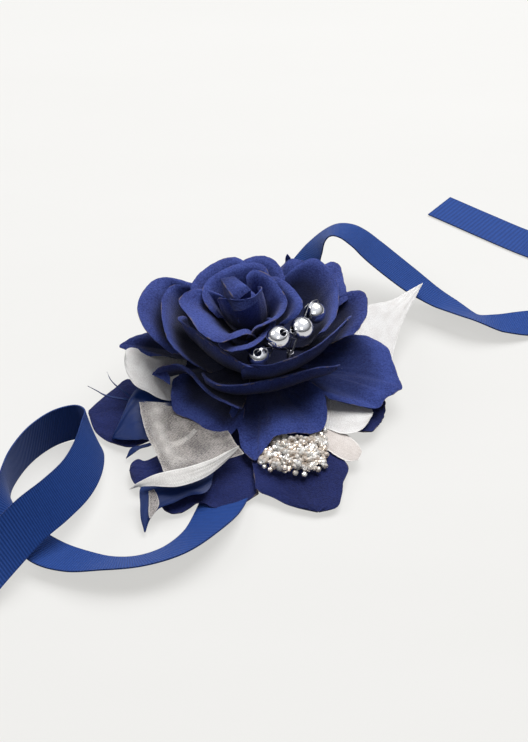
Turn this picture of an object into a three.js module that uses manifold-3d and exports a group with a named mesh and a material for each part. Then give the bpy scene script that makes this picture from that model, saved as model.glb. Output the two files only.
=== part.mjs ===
// A wrist corsage: a fabric rose on a ring of velvet petals, with satin and organza leaves,
// a spray of silver beads on wire, strands of crystal beads and a ribbon with two free tails.
// Millimetres, +Z up, origin at the middle of the felt's underside, front towards -Y.
import * as THREE from "three";
import { mergeVertices } from "three/addons/utils/BufferGeometryUtils.js";
import Module from "manifold-3d";

const wasm = await Module();
wasm.setup();

// Sizes of the stack under the flower, from the table up
const CLEARANCE = 0.3;
const FELT_RADIUS = 26;
const FELT_THICKNESS = 1.5;
const RIBBON_WIDTH = 16;
const RIBBON_THICKNESS = 0.6;
const DISC_RADIUS = 21;
const DISC_THICKNESS = 2;
const STRAP_Z = FELT_THICKNESS + CLEARANCE;
const DISC_Z = STRAP_Z + RIBBON_THICKNESS + CLEARANCE;
const DISC_TOP = DISC_Z + DISC_THICKNESS;

// Sizes of the cloth, wire and beads
const PETAL_THICKNESS = 0.6;
const LEAF_THICKNESS = 0.5;
const BEAD_DIAMETER = 8;
const BEAD_BORE = 2.6;
const WIRE_DIAMETER = 0.5;
const CRYSTAL_DIAMETER = 3.2;
const THREAD_DIAMETER = 0.7;
const BINDING_DIAMETER = 3;
const BINDING_LENGTH = 2.6;

// Where the rose stands on the disc, and how far its axis leans for each millimetre of height
const ROSE_X = 2.5;
const ROSE_Y = 8;
const ROSE_Z = DISC_TOP + CLEARANCE;
const LEAN_X = 0.12;
const LEAN_Y = 0.087;
const CORE_FOOT = 6.5;
const CORE_RADIUS = 4.9;
const CORE_TAPER = 0.115;
const CORE_TOP = 29;

const group = new THREE.Group();

const velvet = new THREE.MeshStandardMaterial({ color: 0x2d3778, roughness: 0.9 });
const darkVelvet = new THREE.MeshStandardMaterial({ color: 0x28265f, roughness: 0.9 });
const satin = new THREE.MeshStandardMaterial({ color: 0x193c82, roughness: 0.4 });
const organza = new THREE.MeshStandardMaterial({ color: 0xc9c6c4, roughness: 0.7 });
const grosgrain = new THREE.MeshStandardMaterial({ color: 0x1e3d7f, roughness: 0.7 });
const felt = new THREE.MeshStandardMaterial({ color: 0x1c2246, roughness: 1 });
const foam = new THREE.MeshStandardMaterial({ color: 0x232a58, roughness: 0.9 });
const silver = new THREE.MeshStandardMaterial({ color: 0xd9d9de, metalness: 1, roughness: 0.15 });
const steelWire = new THREE.MeshStandardMaterial({ color: 0xb4b4ba, metalness: 1, roughness: 0.3 });
const crystal = new THREE.MeshStandardMaterial({ color: 0xeeeeee, roughness: 0.05 });

function add(name, geometry, material) {
  const mesh = new THREE.Mesh(geometry, material);
  mesh.name = name;
  group.add(mesh);
}

const degrees = (angle) => (angle * Math.PI) / 180;

// The value at t of a cubic Bezier curve through four numbers.
function cubic(v, t) {
  const u = 1 - t;
  return u * u * u * v[0] + 3 * u * u * t * v[1] + 3 * u * t * t * v[2] + t * t * t * v[3];
}

// A closed cloth solid. surface(x, t) is its middle, with x from -1 to 1 across and t from 0 to 1
// along, and round draws the corners of that square in, so that the outline is a petal's.
function cloth(surface, thickness, round, columns, rows) {
  const step = 1e-3;
  const upper = [];
  const lower = [];
  for (let j = 0; j <= rows; j++) {
    for (let i = 0; i <= columns; i++) {
      const a = (2 * i) / columns - 1;
      const b = (2 * j) / rows - 1;
      const x = a * Math.sqrt(1 - (round * b * b) / 2);
      const t = (1 + b * Math.sqrt(1 - (round * a * a) / 2)) / 2;
      const across = surface(x + step, t).sub(surface(x - step, t));
      const along = surface(x, t + step).sub(surface(x, t - step));
      const half = across.cross(along).normalize().multiplyScalar(thickness / 2);
      upper.push(surface(x, t).add(half));
      lower.push(surface(x, t).sub(half));
    }
  }
  const count = upper.length;
  const at = (i, j) => j * (columns + 1) + i;
  const faces = [];
  const quad = (a, b, c, d) => faces.push(a, b, c, a, c, d);
  for (let j = 0; j < rows; j++) {
    for (let i = 0; i < columns; i++) {
      quad(at(i, j), at(i + 1, j), at(i + 1, j + 1), at(i, j + 1));
      quad(at(i, j) + count, at(i, j + 1) + count, at(i + 1, j + 1) + count, at(i + 1, j) + count);
    }
  }
  const rim = [];
  for (let i = 0; i < columns; i++) rim.push(at(i, 0));
  for (let j = 0; j < rows; j++) rim.push(at(columns, j));
  for (let i = columns; i > 0; i--) rim.push(at(i, rows));
  for (let j = rows; j > 0; j--) rim.push(at(0, j));
  rim.forEach((from, k) => {
    const to = rim[(k + 1) % rim.length];
    quad(from, from + count, to + count, to);
  });
  const points = upper.concat(lower).flatMap((p) => [p.x, p.y, p.z]);
  const geometry = new THREE.BufferGeometry();
  geometry.setAttribute("position", new THREE.Float32BufferAttribute(points, 3));
  geometry.setIndex(faces);
  geometry.computeVertexNormals();
  return geometry;
}

// A point of the rose's own upright frame, set on the disc and leaned.
function inRose(radius, angle, height) {
  const x = ROSE_X + radius * Math.cos(angle) - LEAN_X * height;
  const y = ROSE_Y + radius * Math.sin(angle) - LEAN_Y * height;
  return new THREE.Vector3(x, y, ROSE_Z + height);
}

// How wide a petal is at t, as a share of its full width: a narrow neck that opens to the lip.
function opening(neck, t) {
  return neck + (1 - neck) * Math.sin((Math.PI / 2) * Math.min(1, Math.max(0, t)));
}

// A cupped petal: a patch of a shell round the rose's axis. r and z are the shell's profile from
// the core to the lip, angle is the petal's middle and half is half its spread. lap moves its two
// side edges out or in, so that neighbours pass over and under, and wave ruffles the lip.
function cup(p) {
  const wave = p.wave || 0;
  return (x, t) => {
    const ruffle = wave * t * t * t * Math.sin((p.waves || 1) * Math.PI * x + (p.phase || 0));
    const lapped = Math.abs(x) * t * (x < 0 ? p.lap[0] : p.lap[1]);
    const radius = cubic(p.r, t) + lapped + ruffle;
    const height = cubic(p.z, t) - 0.5 * lapped + (p.curl || 0) * ruffle;
    return inRose(radius, degrees(p.angle + p.half * opening(p.neck, t) * x), height);
  };
}

// A leaf or lying petal: a blade swept along a curve through four points. width is its half width,
// neck is its share at the base, point is 0 for a round end and 1 for a pointed one, bowl lifts its
// edges, roll turns it round its own line in degrees from base to tip, and wave ruffles its edges.
function blade(p) {
  const axis = (k) => p.spine.map((q) => q[k]);
  const [xs, ys, zs] = [axis(0), axis(1), axis(2)];
  const up = new THREE.Vector3(0, 0, 1);
  const middle = (t) => new THREE.Vector3(cubic(xs, t), cubic(ys, t), cubic(zs, t));
  return (x, t) => {
    const s = Math.min(Math.max(t, 0.004), 0.996);
    const ahead = middle(s + 0.002).sub(middle(s - 0.002)).normalize();
    const side = ahead.clone().cross(up).normalize();
    const rise = side.clone().cross(ahead);
    const turn = degrees(p.roll[0] + (p.roll[1] - p.roll[0]) * t);
    const across = side.clone().multiplyScalar(Math.cos(turn)).addScaledVector(rise, Math.sin(turn));
    const normal = rise.multiplyScalar(Math.cos(turn)).addScaledVector(side, -Math.sin(turn));
    const taper = Math.pow(Math.sin(Math.PI * Math.pow(s, 0.8)), 0.8);
    const half = p.width * opening(p.neck, t) * (1 - p.point + p.point * taper) + 0.3;
    const ruffle = (p.wave || 0) * x * x * Math.sin((p.waves || 1) * 2 * Math.PI * t + (p.phase || 0));
    return middle(t)
      .addScaledVector(across, half * x)
      .addScaledVector(normal, p.bowl * x * x * Math.sin(Math.PI * s) + ruffle * t);
  };
}

// A round wire through points, with flat ends, or joined up where closed is true.
function wire(points, diameter, steps, closed = false) {
  const curve = new THREE.CatmullRomCurve3(points, closed, "centripetal");
  const circle = new THREE.Shape().absarc(0, 0, diameter / 2, 0, 2 * Math.PI, false);
  return new THREE.ExtrudeGeometry(circle, { steps, extrudePath: curve, curveSegments: 3 });
}

// One solid from several closed geometries.
function joined(geometries) {
  const solids = geometries.map((g) => {
    const bare = new THREE.BufferGeometry();
    bare.setAttribute("position", (g.index ? g.toNonIndexed() : g).getAttribute("position"));
    const merged = mergeVertices(bare, 1e-4);
    const triVerts = new Uint32Array(merged.index.array);
    const vertProperties = merged.attributes.position.array;
    return new wasm.Manifold(new wasm.Mesh({ numProp: 3, vertProperties, triVerts }));
  });
  const made = solids.slice(1).reduce((sum, next) => sum.add(next), solids[0]).getMesh();
  const geometry = new THREE.BufferGeometry();
  geometry.setAttribute("position", new THREE.Float32BufferAttribute(made.vertProperties, 3));
  geometry.setIndex(new THREE.BufferAttribute(made.triVerts, 1));
  geometry.computeVertexNormals();
  return geometry;
}

// A disc between two heights with its middle on the z axis.
function disc(radius, low, high) {
  const made = new THREE.CylinderGeometry(radius, radius, high - low, 40);
  made.rotateX(Math.PI / 2);
  made.translate(0, 0, (low + high) / 2);
  return made;
}

// Felt, ribbon strap and base disc
const STRAP_TURN = degrees(-12);
const STRAP_REACH = FELT_RADIUS + 2;
const STRAP_END = new THREE.Vector3(-Math.sin(STRAP_TURN), Math.cos(STRAP_TURN), 0);
add("felt_backing", disc(FELT_RADIUS, 0, FELT_THICKNESS), felt);
const strap = new THREE.BoxGeometry(RIBBON_WIDTH, 2 * STRAP_REACH, RIBBON_THICKNESS);
strap.rotateZ(STRAP_TURN);
strap.translate(0, 0, STRAP_Z + RIBBON_THICKNESS / 2);
add("ribbon_strap", strap, grosgrain);
add("base_disc", disc(DISC_RADIUS, DISC_Z, DISC_TOP), foam);

// Ribbon tails. Each station is x, y, the height of the lower edge over the table, and the lean of
// the ribbon: 0 or 180 is flat and 90 stands on edge.
const TABLE_GAP = 0.3;
const TAIL_STEPS = 56;
const start = STRAP_END.clone().multiplyScalar(STRAP_REACH + CLEARANCE);
const lead = STRAP_END.clone().multiplyScalar(STRAP_REACH + CLEARANCE + RIBBON_WIDTH / 2);
const leftTail = [
  [-start.x, -start.y, STRAP_Z, 180],
  [-lead.x, -lead.y, 1.2, 180],
  [-8.2, -43, 0.5, 180],
  [-8.8, -51, TABLE_GAP, 175],
  [-11.5, -61, TABLE_GAP, 165],
  [-16.5, -71.5, TABLE_GAP, 151],
  [-25, -80.5, TABLE_GAP, 147],
  [-35.5, -85.3, TABLE_GAP, 146],
  [-46, -86, TABLE_GAP, 149],
  [-56.8, -83.5, TABLE_GAP, 161],
  [-66.3, -79, TABLE_GAP, 165],
  [-74.5, -71.5, TABLE_GAP, 150],
  [-80, -61, TABLE_GAP, 115],
  [-81.9, -51, TABLE_GAP, 92],
  [-79.5, -41, TABLE_GAP, 90],
  [-74.5, -31.5, TABLE_GAP, 90],
  [-67.5, -24.5, TABLE_GAP, 90],
  [-60.5, -22.5, 0.8, 88],
  [-55.8, -26.5, 2.5, 80],
  [-54.3, -34.5, 4.5, 65],
  [-55, -45, 5.5, 58],
  [-58, -56, 6.5, 56],
  [-63.9, -67, 7.8, 54],
  [-71, -76.4, 8.2, 50],
  [-79.7, -87.4, 6, 40],
  [-89, -98, 3, 20],
  [-97, -106, 0.8, 5],
];
const rightTail = [
  [start.x, start.y, STRAP_Z, 0],
  [lead.x, lead.y, 1.2, 0],
  [9.4, 45, 0.5, 6],
  [11.5, 54, 0.6, 8],
  [15.2, 61.5, 2.4, 10],
  [19.5, 66.5, 6.6, 16],
  [23.4, 69, 13, 22],
  [27.2, 69.8, 18.6, 24],
  [31.2, 69.6, 22, 19],
  [35.8, 68.6, 22.6, 14],
  [40.4, 66.9, 21, 11],
  [45, 64.8, 18, 9],
  [49.8, 62.2, 15, 9],
  [56.3, 58.4, 11.2, 10],
  [63.5, 54, 7.2, 13],
  [72, 49.2, 3, 20],
  [83, 41.7, 0.4, 31],
  [93, 40.4, TABLE_GAP, 15],
  [104, 42.2, TABLE_GAP, 4],
  [116, 44, TABLE_GAP, 15],
  [128, 47, TABLE_GAP, 60],
  [137, 54, TABLE_GAP, 88],
  [140, 65, TABLE_GAP, 90],
  [136, 76, TABLE_GAP, 88],
  [128, 83, TABLE_GAP, 60],
  [119, 88, TABLE_GAP, 15],
  [110, 94, TABLE_GAP, 2],
  [93, 107.4, TABLE_GAP, 0],
  [76.5, 120.8, TABLE_GAP, 0],
];

// A flat ribbon along stations, one closed solid of rectangular section.
function ribbon(stations) {
  const line = new THREE.CatmullRomCurve3(
    stations.map((s) => new THREE.Vector3(s[0], s[1], s[2])),
    false,
    "centripetal",
  );
  const leans = new THREE.CatmullRomCurve3(
    stations.map((s) => new THREE.Vector3(s[0], s[1], s[3])),
    false,
    "centripetal",
  );
  const points = [];
  const faces = [];
  for (let k = 0; k <= TAIL_STEPS; k++) {
    const t = k / TAIL_STEPS;
    const place = line.getPoint(t);
    const lean = degrees(leans.getPoint(t).z);
    const ahead = line.getPoint(Math.min(1, t + 1e-3)).sub(line.getPoint(Math.max(0, t - 1e-3)));
    ahead.z = 0;
    ahead.normalize();
    const across = new THREE.Vector3(ahead.y, -ahead.x, 0).multiplyScalar(Math.cos(lean));
    across.z = Math.sin(lean);
    const face = across.clone().cross(ahead).normalize();
    const rise = (RIBBON_WIDTH / 2) * Math.abs(Math.sin(lean));
    place.z += rise + (RIBBON_THICKNESS / 2) * Math.abs(Math.cos(lean));
    for (const [side, level] of [[-1, -1], [1, -1], [1, 1], [-1, 1]]) {
      const corner = place.clone().addScaledVector(across, (side * RIBBON_WIDTH) / 2);
      corner.addScaledVector(face, (level * RIBBON_THICKNESS) / 2);
      points.push(corner.x, corner.y, corner.z);
    }
    if (k === 0) continue;
    const b = 4 * k;
    for (let e = 0; e < 4; e++) {
      const f = (e + 1) % 4;
      faces.push(b - 4 + e, b + f, b - 4 + f, b - 4 + e, b + e, b + f);
    }
  }
  const last = 4 * TAIL_STEPS;
  faces.push(0, 1, 2, 0, 2, 3, last, last + 2, last + 1, last, last + 3, last + 2);
  const geometry = new THREE.BufferGeometry();
  geometry.setAttribute("position", new THREE.Float32BufferAttribute(points, 3));
  geometry.setIndex(faces);
  geometry.computeVertexNormals();
  return geometry;
}
add("ribbon_left_tail", ribbon(leftTail), grosgrain);
add("ribbon_right_tail", ribbon(rightTail), grosgrain);

// Rose core: a tapered stem that every rose petal is wrapped round
const coreRadius = (height) => CORE_RADIUS - CORE_TAPER * height;
const coreProfile = [
  new THREE.Vector2(0, 0),
  new THREE.Vector2(CORE_FOOT, 0),
  new THREE.Vector2(CORE_FOOT, 1.2),
  new THREE.Vector2(coreRadius(4), 4),
  new THREE.Vector2(coreRadius(CORE_TOP - 1), CORE_TOP - 1),
  new THREE.Vector2(0, CORE_TOP),
];
const core = new THREE.LatheGeometry(coreProfile, 24);
core.rotateX(Math.PI / 2);
const coreSpots = core.getAttribute("position");
for (let i = 0; i < coreSpots.count; i++) {
  const height = coreSpots.getZ(i);
  const x = ROSE_X + coreSpots.getX(i) - LEAN_X * height;
  coreSpots.setXYZ(i, x, ROSE_Y + coreSpots.getY(i) - LEAN_Y * height, ROSE_Z + height);
}
core.computeVertexNormals();
add("rose_core", core, foam);

// Rose petals, from the bud out. seat is the height on the core where a ring starts, and layer is how
// many petals of the same ring lie under this one there.
const LAYER = PETAL_THICKNESS + CLEARANCE;
const OVER = 1.4;
const UNDER = -1.4;
const rosePetals = [
  { name: "bud_petal_inner", angle: 70, half: 130, neck: 1, round: 0.5, lap: [-0.5, 0.5],
    seat: 26, layer: 0, r: [4.2, 4.2, 2.0], z: [26.5, 38, 44.5] },
  { name: "bud_petal_left", angle: 165, half: 95, neck: 1, round: 0.5, lap: [-0.4, 0.4],
    seat: 25, layer: 0, r: [6.2, 6.4, 4.4], z: [25.5, 38, 43.5] },
  { name: "bud_petal_front", angle: 290, half: 100, neck: 1, round: 0.4, lap: [-0.3, 0.3],
    seat: 24, layer: 0, r: [8.6, 8.8, 7.6], z: [24.5, 36, 42] },
  { name: "inner_petal_right", angle: 345, half: 82, neck: 1, round: 0.5, lap: [0.6, -1],
    seat: 22.8, layer: 0, r: [10.6, 10.8, 15], z: [23, 34, 37] },
  { name: "inner_petal_back", angle: 125, half: 88, neck: 1, round: 0.5, lap: [-0.4, 0.4],
    seat: 21.8, layer: 0, r: [12, 12.2, 18], z: [22, 34.5, 38.5] },
  { name: "inner_petal_front", angle: 228, half: 64, neck: 1, round: 0.6, lap: [-0.4, 0.4],
    seat: 20.8, layer: 0, r: [14, 14, 25], z: [21, 34.5, 38] },
  { name: "second_petal_front", angle: 238, half: 58, neck: 1, round: 0.6, lap: [0, 0],
    seat: 17.8, layer: 1, r: [16, 15, 22.5], z: [17.8, 32.5, 33.5] },
  { name: "second_petal_right", angle: 345, half: 50, neck: 1, round: 0.6, lap: [-2, UNDER],
    seat: 17.8, layer: 2, r: [16.6, 16.8, 19], z: [17.8, 30, 33] },
  { name: "second_petal_back_right", angle: 63, half: 44, neck: 1, round: 0.6, lap: [OVER, UNDER],
    seat: 17.8, layer: 1, r: [16.4, 16.8, 26.5], z: [17.8, 30, 33.5] },
  { name: "second_petal_back_left", angle: 128, half: 52, neck: 1, round: 0.6, lap: [OVER, 0],
    seat: 17.8, layer: 0, r: [16.4, 16.6, 27], z: [17.8, 30, 33] },
  { name: "third_petal_front_left", angle: 222, half: 52, neck: 1, round: 0.6, lap: [UNDER, 2.8],
    seat: 12.4, layer: 1, r: [24.5, 25, 26.5], z: [12.4, 24, 31] },
  { name: "third_petal_front_right", angle: 314, half: 52, neck: 1, round: 0.6, lap: [UNDER, 6],
    seat: 12.4, layer: 2, r: [25, 27, 28], z: [12.4, 22.5, 28.5] },
  { name: "third_petal_right", angle: 22, half: 48, neck: 1, round: 0.6, lap: [-7, 6],
    seat: 12.4, layer: 3, r: [25, 28, 34], z: [12.4, 22.5, 26] },
  { name: "third_petal_back", angle: 92, half: 46, neck: 1, round: 0.6, lap: [UNDER, UNDER],
    seat: 12.4, layer: 4, r: [25, 28, 36], z: [12.4, 23, 28] },
  { name: "third_petal_left", angle: 157, half: 44, neck: 1, round: 0.6, lap: [OVER, OVER],
    seat: 12.4, layer: 0, r: [24.5, 27, 40], z: [12.4, 22.5, 27] },
  { name: "fourth_petal_front", angle: 279, half: 52, neck: 1, round: 0.6, lap: [0, 4],
    seat: 8.6, layer: 0, r: [28.5, 28.5, 29], z: [8, 14, 20.5] },
  { name: "fourth_petal_right", angle: 0, half: 42, neck: 1, round: 0.6, lap: [-4, 8],
    seat: 8.6, layer: 1, r: [30, 31, 37], z: [8, 14, 18] },
  { name: "fourth_petal_back_right", angle: 55, half: 44, neck: 1, round: 0.6, lap: [-3, -4],
    seat: 8.6, layer: 2, r: [31, 33, 45], z: [8, 14, 19] },
  { name: "fourth_petal_back_left", angle: 118, half: 46, neck: 1, round: 0.6, lap: [OVER, UNDER],
    seat: 8.6, layer: 1, r: [30, 32, 40], z: [8, 14, 18] },
  { name: "fourth_petal_left", angle: 169, half: 30, neck: 1, round: 0.6, lap: [OVER, OVER],
    seat: 8.6, layer: 0, r: [30.5, 33.5, 47], z: [8, 13.5, 15] },
  { name: "guard_petal_front", angle: 284, half: 28, neck: 0.6, round: 0.6, lap: [0, 0], seat: 6,
    layer: 0, wave: 4.5, waves: 1.75, phase: -1.57, curl: -0.2, r: [20, 36, 47], z: [3.8, 9, 7] },
  { name: "guard_petal_front_left", angle: 231, half: 24, neck: 0.6, round: 0.6, lap: [0, 0], seat: 6,
    layer: 0, wave: 1.5, waves: 2, curl: -0.3, r: [22, 36, 42], z: [4.4, 11, 6.5] },
  { name: "guard_petal_left", angle: 160, half: 26, neck: 0.6, round: 0.6, lap: [0, 0], seat: 6,
    layer: 0, wave: 1.5, waves: 2, curl: -0.3, r: [20, 34, 43], z: [3.6, 8, 8] },
  { name: "guard_petal_back", angle: 85, half: 40, neck: 0.6, round: 0.6, lap: [0, 0], seat: 6,
    layer: 0, wave: 1.5, waves: 2, curl: -0.3, r: [20, 36, 45], z: [3.6, 8, 7] },
  { name: "guard_petal_right", angle: 346, half: 32, neck: 0.6, round: 0.6, lap: [0, 0], seat: 6,
    layer: 0, wave: 1.5, waves: 2, curl: -0.3, r: [20, 38, 54], z: [3.6, 8, 7] },
];
for (const petal of rosePetals) {
  const lift = petal.layer * LAYER;
  const seat = petal.seat + lift;
  const [near, far, lip] = petal.r;
  const [low, high, tip] = petal.z;
  const r = [coreRadius(seat) + CLEARANCE, near - lift, far - lift, lip];
  const shape = cup({ ...petal, r, z: [seat, low + lift, high, tip] });
  const columns = petal.half > 70 ? 11 : 8;
  add(petal.name, cloth(shape, PETAL_THICKNESS, petal.round, columns, 7), velvet);
}

// Velvet petals that lie out over the table, glued to the disc
const VELVET_Z = DISC_TOP + CLEARANCE + PETAL_THICKNESS / 2;
const basePetals = [
  { name: "base_petal_front", width: 17, neck: 0.25, point: 0.1, bowl: -1.2, roll: [0, 0], round: 0.7,
    wave: 1.2, waves: 1.5, spine: [[5, -12.5, 0], [12, -28, 0.6], [17, -46, 0.4], [18, -62, -3]] },
  { name: "base_petal_front_left", width: 16, neck: 0.25, point: 0.1, bowl: -1, roll: [0, 0], round: 0.7,
    wave: 1.2, waves: 1.5, spine: [[-4, -13, 0], [-12, -28, 0], [-17, -46, 0], [-18, -62, -1]] },
  { name: "base_petal_left_front", width: 11, neck: 0.25, point: 0.2, bowl: -0.6, roll: [0, 0], round: 0.7,
    spine: [[-9.5, -9.5, 0.9], [-20, -18, 1], [-31, -27, 1], [-40, -36, 0.6]] },
  { name: "base_petal_left", width: 15, neck: 0.25, point: 0.2, bowl: -1, roll: [0, 0], round: 0.7,
    spine: [[-13.5, -1, 0], [-27, -3, 0.6], [-42, -7, 0.6], [-57, -10, -1.5]] },
  { name: "base_petal_back_left", width: 15, neck: 0.25, point: 0.2, bowl: -1, roll: [0, 0], round: 0.7,
    spine: [[-9, 11, 0], [-17, 21, 0.6], [-25, 32, 0], [-30, 42, -2]] },
  { name: "base_petal_back_right", width: 15, neck: 0.25, point: 0.2, bowl: -1, roll: [0, 0], round: 0.7,
    spine: [[11, 13.5, 0], [19, 21, 0.6], [27, 31, 0], [32, 41, -2]] },
  { name: "base_petal_right", width: 14, neck: 0.25, point: 0.2, bowl: -1, roll: [0, 0], round: 0.7,
    spine: [[13, -4, 0], [24, -7, 0.6], [36, -10, 0.4], [47, -12, -1.5]] },
];
for (const petal of basePetals) {
  const spine = petal.spine.map(([x, y, z]) => [x, y, VELVET_Z + z]);
  add(petal.name, cloth(blade({ ...petal, spine }), PETAL_THICKNESS, petal.round, 8, 8), darkVelvet);
}

// Satin and organza leaves, laid over the velvet petals and under the rose
const SATIN_Z = VELVET_Z + PETAL_THICKNESS / 2 + CLEARANCE + LEAF_THICKNESS / 2;
const satinLeaves = [
  { name: "satin_leaf_upper", width: 8, neck: 0.6, point: 0.9, bowl: 0.8, roll: [0, 15], round: 0.2,
    spine: [[-17, -6, 1.2], [-33, -7, 2.1], [-48, -19, 3.1], [-46, -36, 0.8]] },
  { name: "satin_leaf_lower", width: 8, neck: 0.6, point: 0.9, bowl: 0.8, roll: [0, 20], round: 0.2,
    spine: [[-10, -29, 0.5], [-21, -45, 1.2], [-39, -49, 2.1], [-34.8, -70, -3]] },
];
for (const leaf of satinLeaves) {
  const spine = leaf.spine.map(([x, y, z]) => [x, y, SATIN_Z + z]);
  add(leaf.name, cloth(blade({ ...leaf, spine }), LEAF_THICKNESS, leaf.round, 6, 10), satin);
}
const ORGANZA_Z = SATIN_Z + LEAF_THICKNESS + CLEARANCE;
const ON_DISC = DISC_TOP + CLEARANCE + LEAF_THICKNESS / 2 - ORGANZA_Z;
const ON_VELVET = SATIN_Z - ORGANZA_Z;
const organzaLeaves = [
  { name: "organza_leaf_left", width: 12, neck: 0.4, point: 0.2, bowl: 0.8, roll: [0, 0], round: 0.7,
    spine: [[-17, 3, 0.4], [-28, 5, 1.4], [-38, 8, 2], [-49, 12, 2]] },
  { name: "organza_leaf_right", width: 12, neck: 0.4, point: 0.7, bowl: 0.6, roll: [0, 0], round: 0.3,
    spine: [[15.5, 6, ON_DISC], [34, 14, 0], [50, 26, 2.5], [61, 43, 10]] },
  { name: "organza_leaf_right_front", width: 9, neck: 0.4, point: 0.3, bowl: 0.4, roll: [0, 0], round: 0.6,
    spine: [[18, -9, ON_VELVET], [27, -13, 1.6], [36, -17, 1.8], [44, -21, 0.9]] },
  { name: "organza_leaf_low_right", width: 8, neck: 0.4, point: 0.3, bowl: 0.4, roll: [0, 0], round: 0.6,
    spine: [[14.6, -13.4, ON_DISC], [25, -18.6, 0.7], [34, -27, 0.4], [38.2, -37.5, -1.2]] },
];
for (const leaf of organzaLeaves) {
  const spine = leaf.spine.map(([x, y, z]) => [x, y, ORGANZA_Z + z]);
  add(leaf.name, cloth(blade({ ...leaf, spine }), LEAF_THICKNESS, leaf.round, 8, 8), organza);
}

// The large organza leaf at the front left, with its far edge folded up into a standing band, which
// spans the leaf from side to side and runs on past it to a point
const FOLD_WIDTH = 15.5;
const FOLD_X = -22;
const FOLD_POINT = 4;
const foldLeaf = { width: FOLD_WIDTH, neck: 0.6, point: 0, bowl: 0.6, roll: [0, 0], round: 0.3,
  spine: [[-17.5, -13, 2], [-20.5, -24, 3.2], [-21.5, -36, 3.5], [FOLD_X, -46, 3.8]] };
const foldBand = { width: 3.4, neck: 0.8, point: 0.9, bowl: 0, roll: [-60, -60], round: 0.2,
  spine: [[FOLD_X + FOLD_WIDTH, -37, 4], [-16, -44, 5.4], [-28, -49, 5.4],
    [FOLD_X - FOLD_WIDTH - FOLD_POINT, -55.5, 2]] };
const folded = [foldLeaf, foldBand].map((leaf) => {
  const spine = leaf.spine.map(([x, y, z]) => [x, y, ORGANZA_Z + z]);
  return cloth(blade({ ...leaf, spine }), LEAF_THICKNESS, leaf.round, 8, 8);
});
add("organza_leaf_front_left", joined(folded), organza);

// The height of a lying petal's middle surface under a point, found by a search over the petal
function heightOn(surface, x, y) {
  let best = surface(0, 0.5);
  const away = (p) => Math.hypot(p.x - x, p.y - y);
  for (let i = -20; i <= 20; i++) {
    for (let j = 0; j <= 60; j++) {
      const p = surface(i / 20, j / 60);
      if (away(p) < away(best)) best = p;
    }
  }
  return best.z;
}

// Crystal strands: stones fused to their thread, bundled side by side on the front velvet petal
const STONES = 8;
const STRANDS = 4;
const STRAND_PITCH = CRYSTAL_DIAMETER + 0.1;
const STRAND_X = 13.4;
const STRAND_HALF = 11.5;
const STRAND_Y = -46;
const STRAND_RISE = PETAL_THICKNESS / 2 + CLEARANCE + CRYSTAL_DIAMETER / 2;
const carrier = blade({
  ...basePetals[0],
  spine: basePetals[0].spine.map(([x, y, z]) => [x, y, VELVET_Z + z]),
});
for (let n = 0; n < STRANDS; n++) {
  const spots = [];
  for (let k = 0; k < STONES; k++) {
    const s = (2 * k) / (STONES - 1) - 1;
    const x = STRAND_X + STRAND_HALF * s;
    const y = STRAND_Y + n * STRAND_PITCH + 5 * s * s;
    spots.push(new THREE.Vector3(x, y, heightOn(carrier, x, y) + STRAND_RISE));
  }
  const stones = spots.map((spot) => {
    const stone = new THREE.IcosahedronGeometry(CRYSTAL_DIAMETER / 2, 0);
    return stone.translate(spot.x, spot.y, spot.z);
  });
  const strand = joined([wire(spots, THREAD_DIAMETER, 2 * STONES), ...stones]);
  add("crystal_strand_" + (n + 1), strand, crystal);
}

// Bead spray: four wires from one binding, each looped through a bored silver bead
const BINDING_RADIUS_AT = 17.6;
const BINDING_ANGLE = degrees(-42);
const BINDING_HEIGHT = 18.6;
const binding = new THREE.CylinderGeometry(
  BINDING_DIAMETER / 2,
  BINDING_DIAMETER / 2,
  BINDING_LENGTH,
  12,
);
binding.rotateX(Math.PI / 2);
const bindingFoot = inRose(BINDING_RADIUS_AT, BINDING_ANGLE, BINDING_HEIGHT);
binding.translate(bindingFoot.x, bindingFoot.y, bindingFoot.z + BINDING_LENGTH / 2);
add("stem_binding", binding, steelWire);

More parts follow.
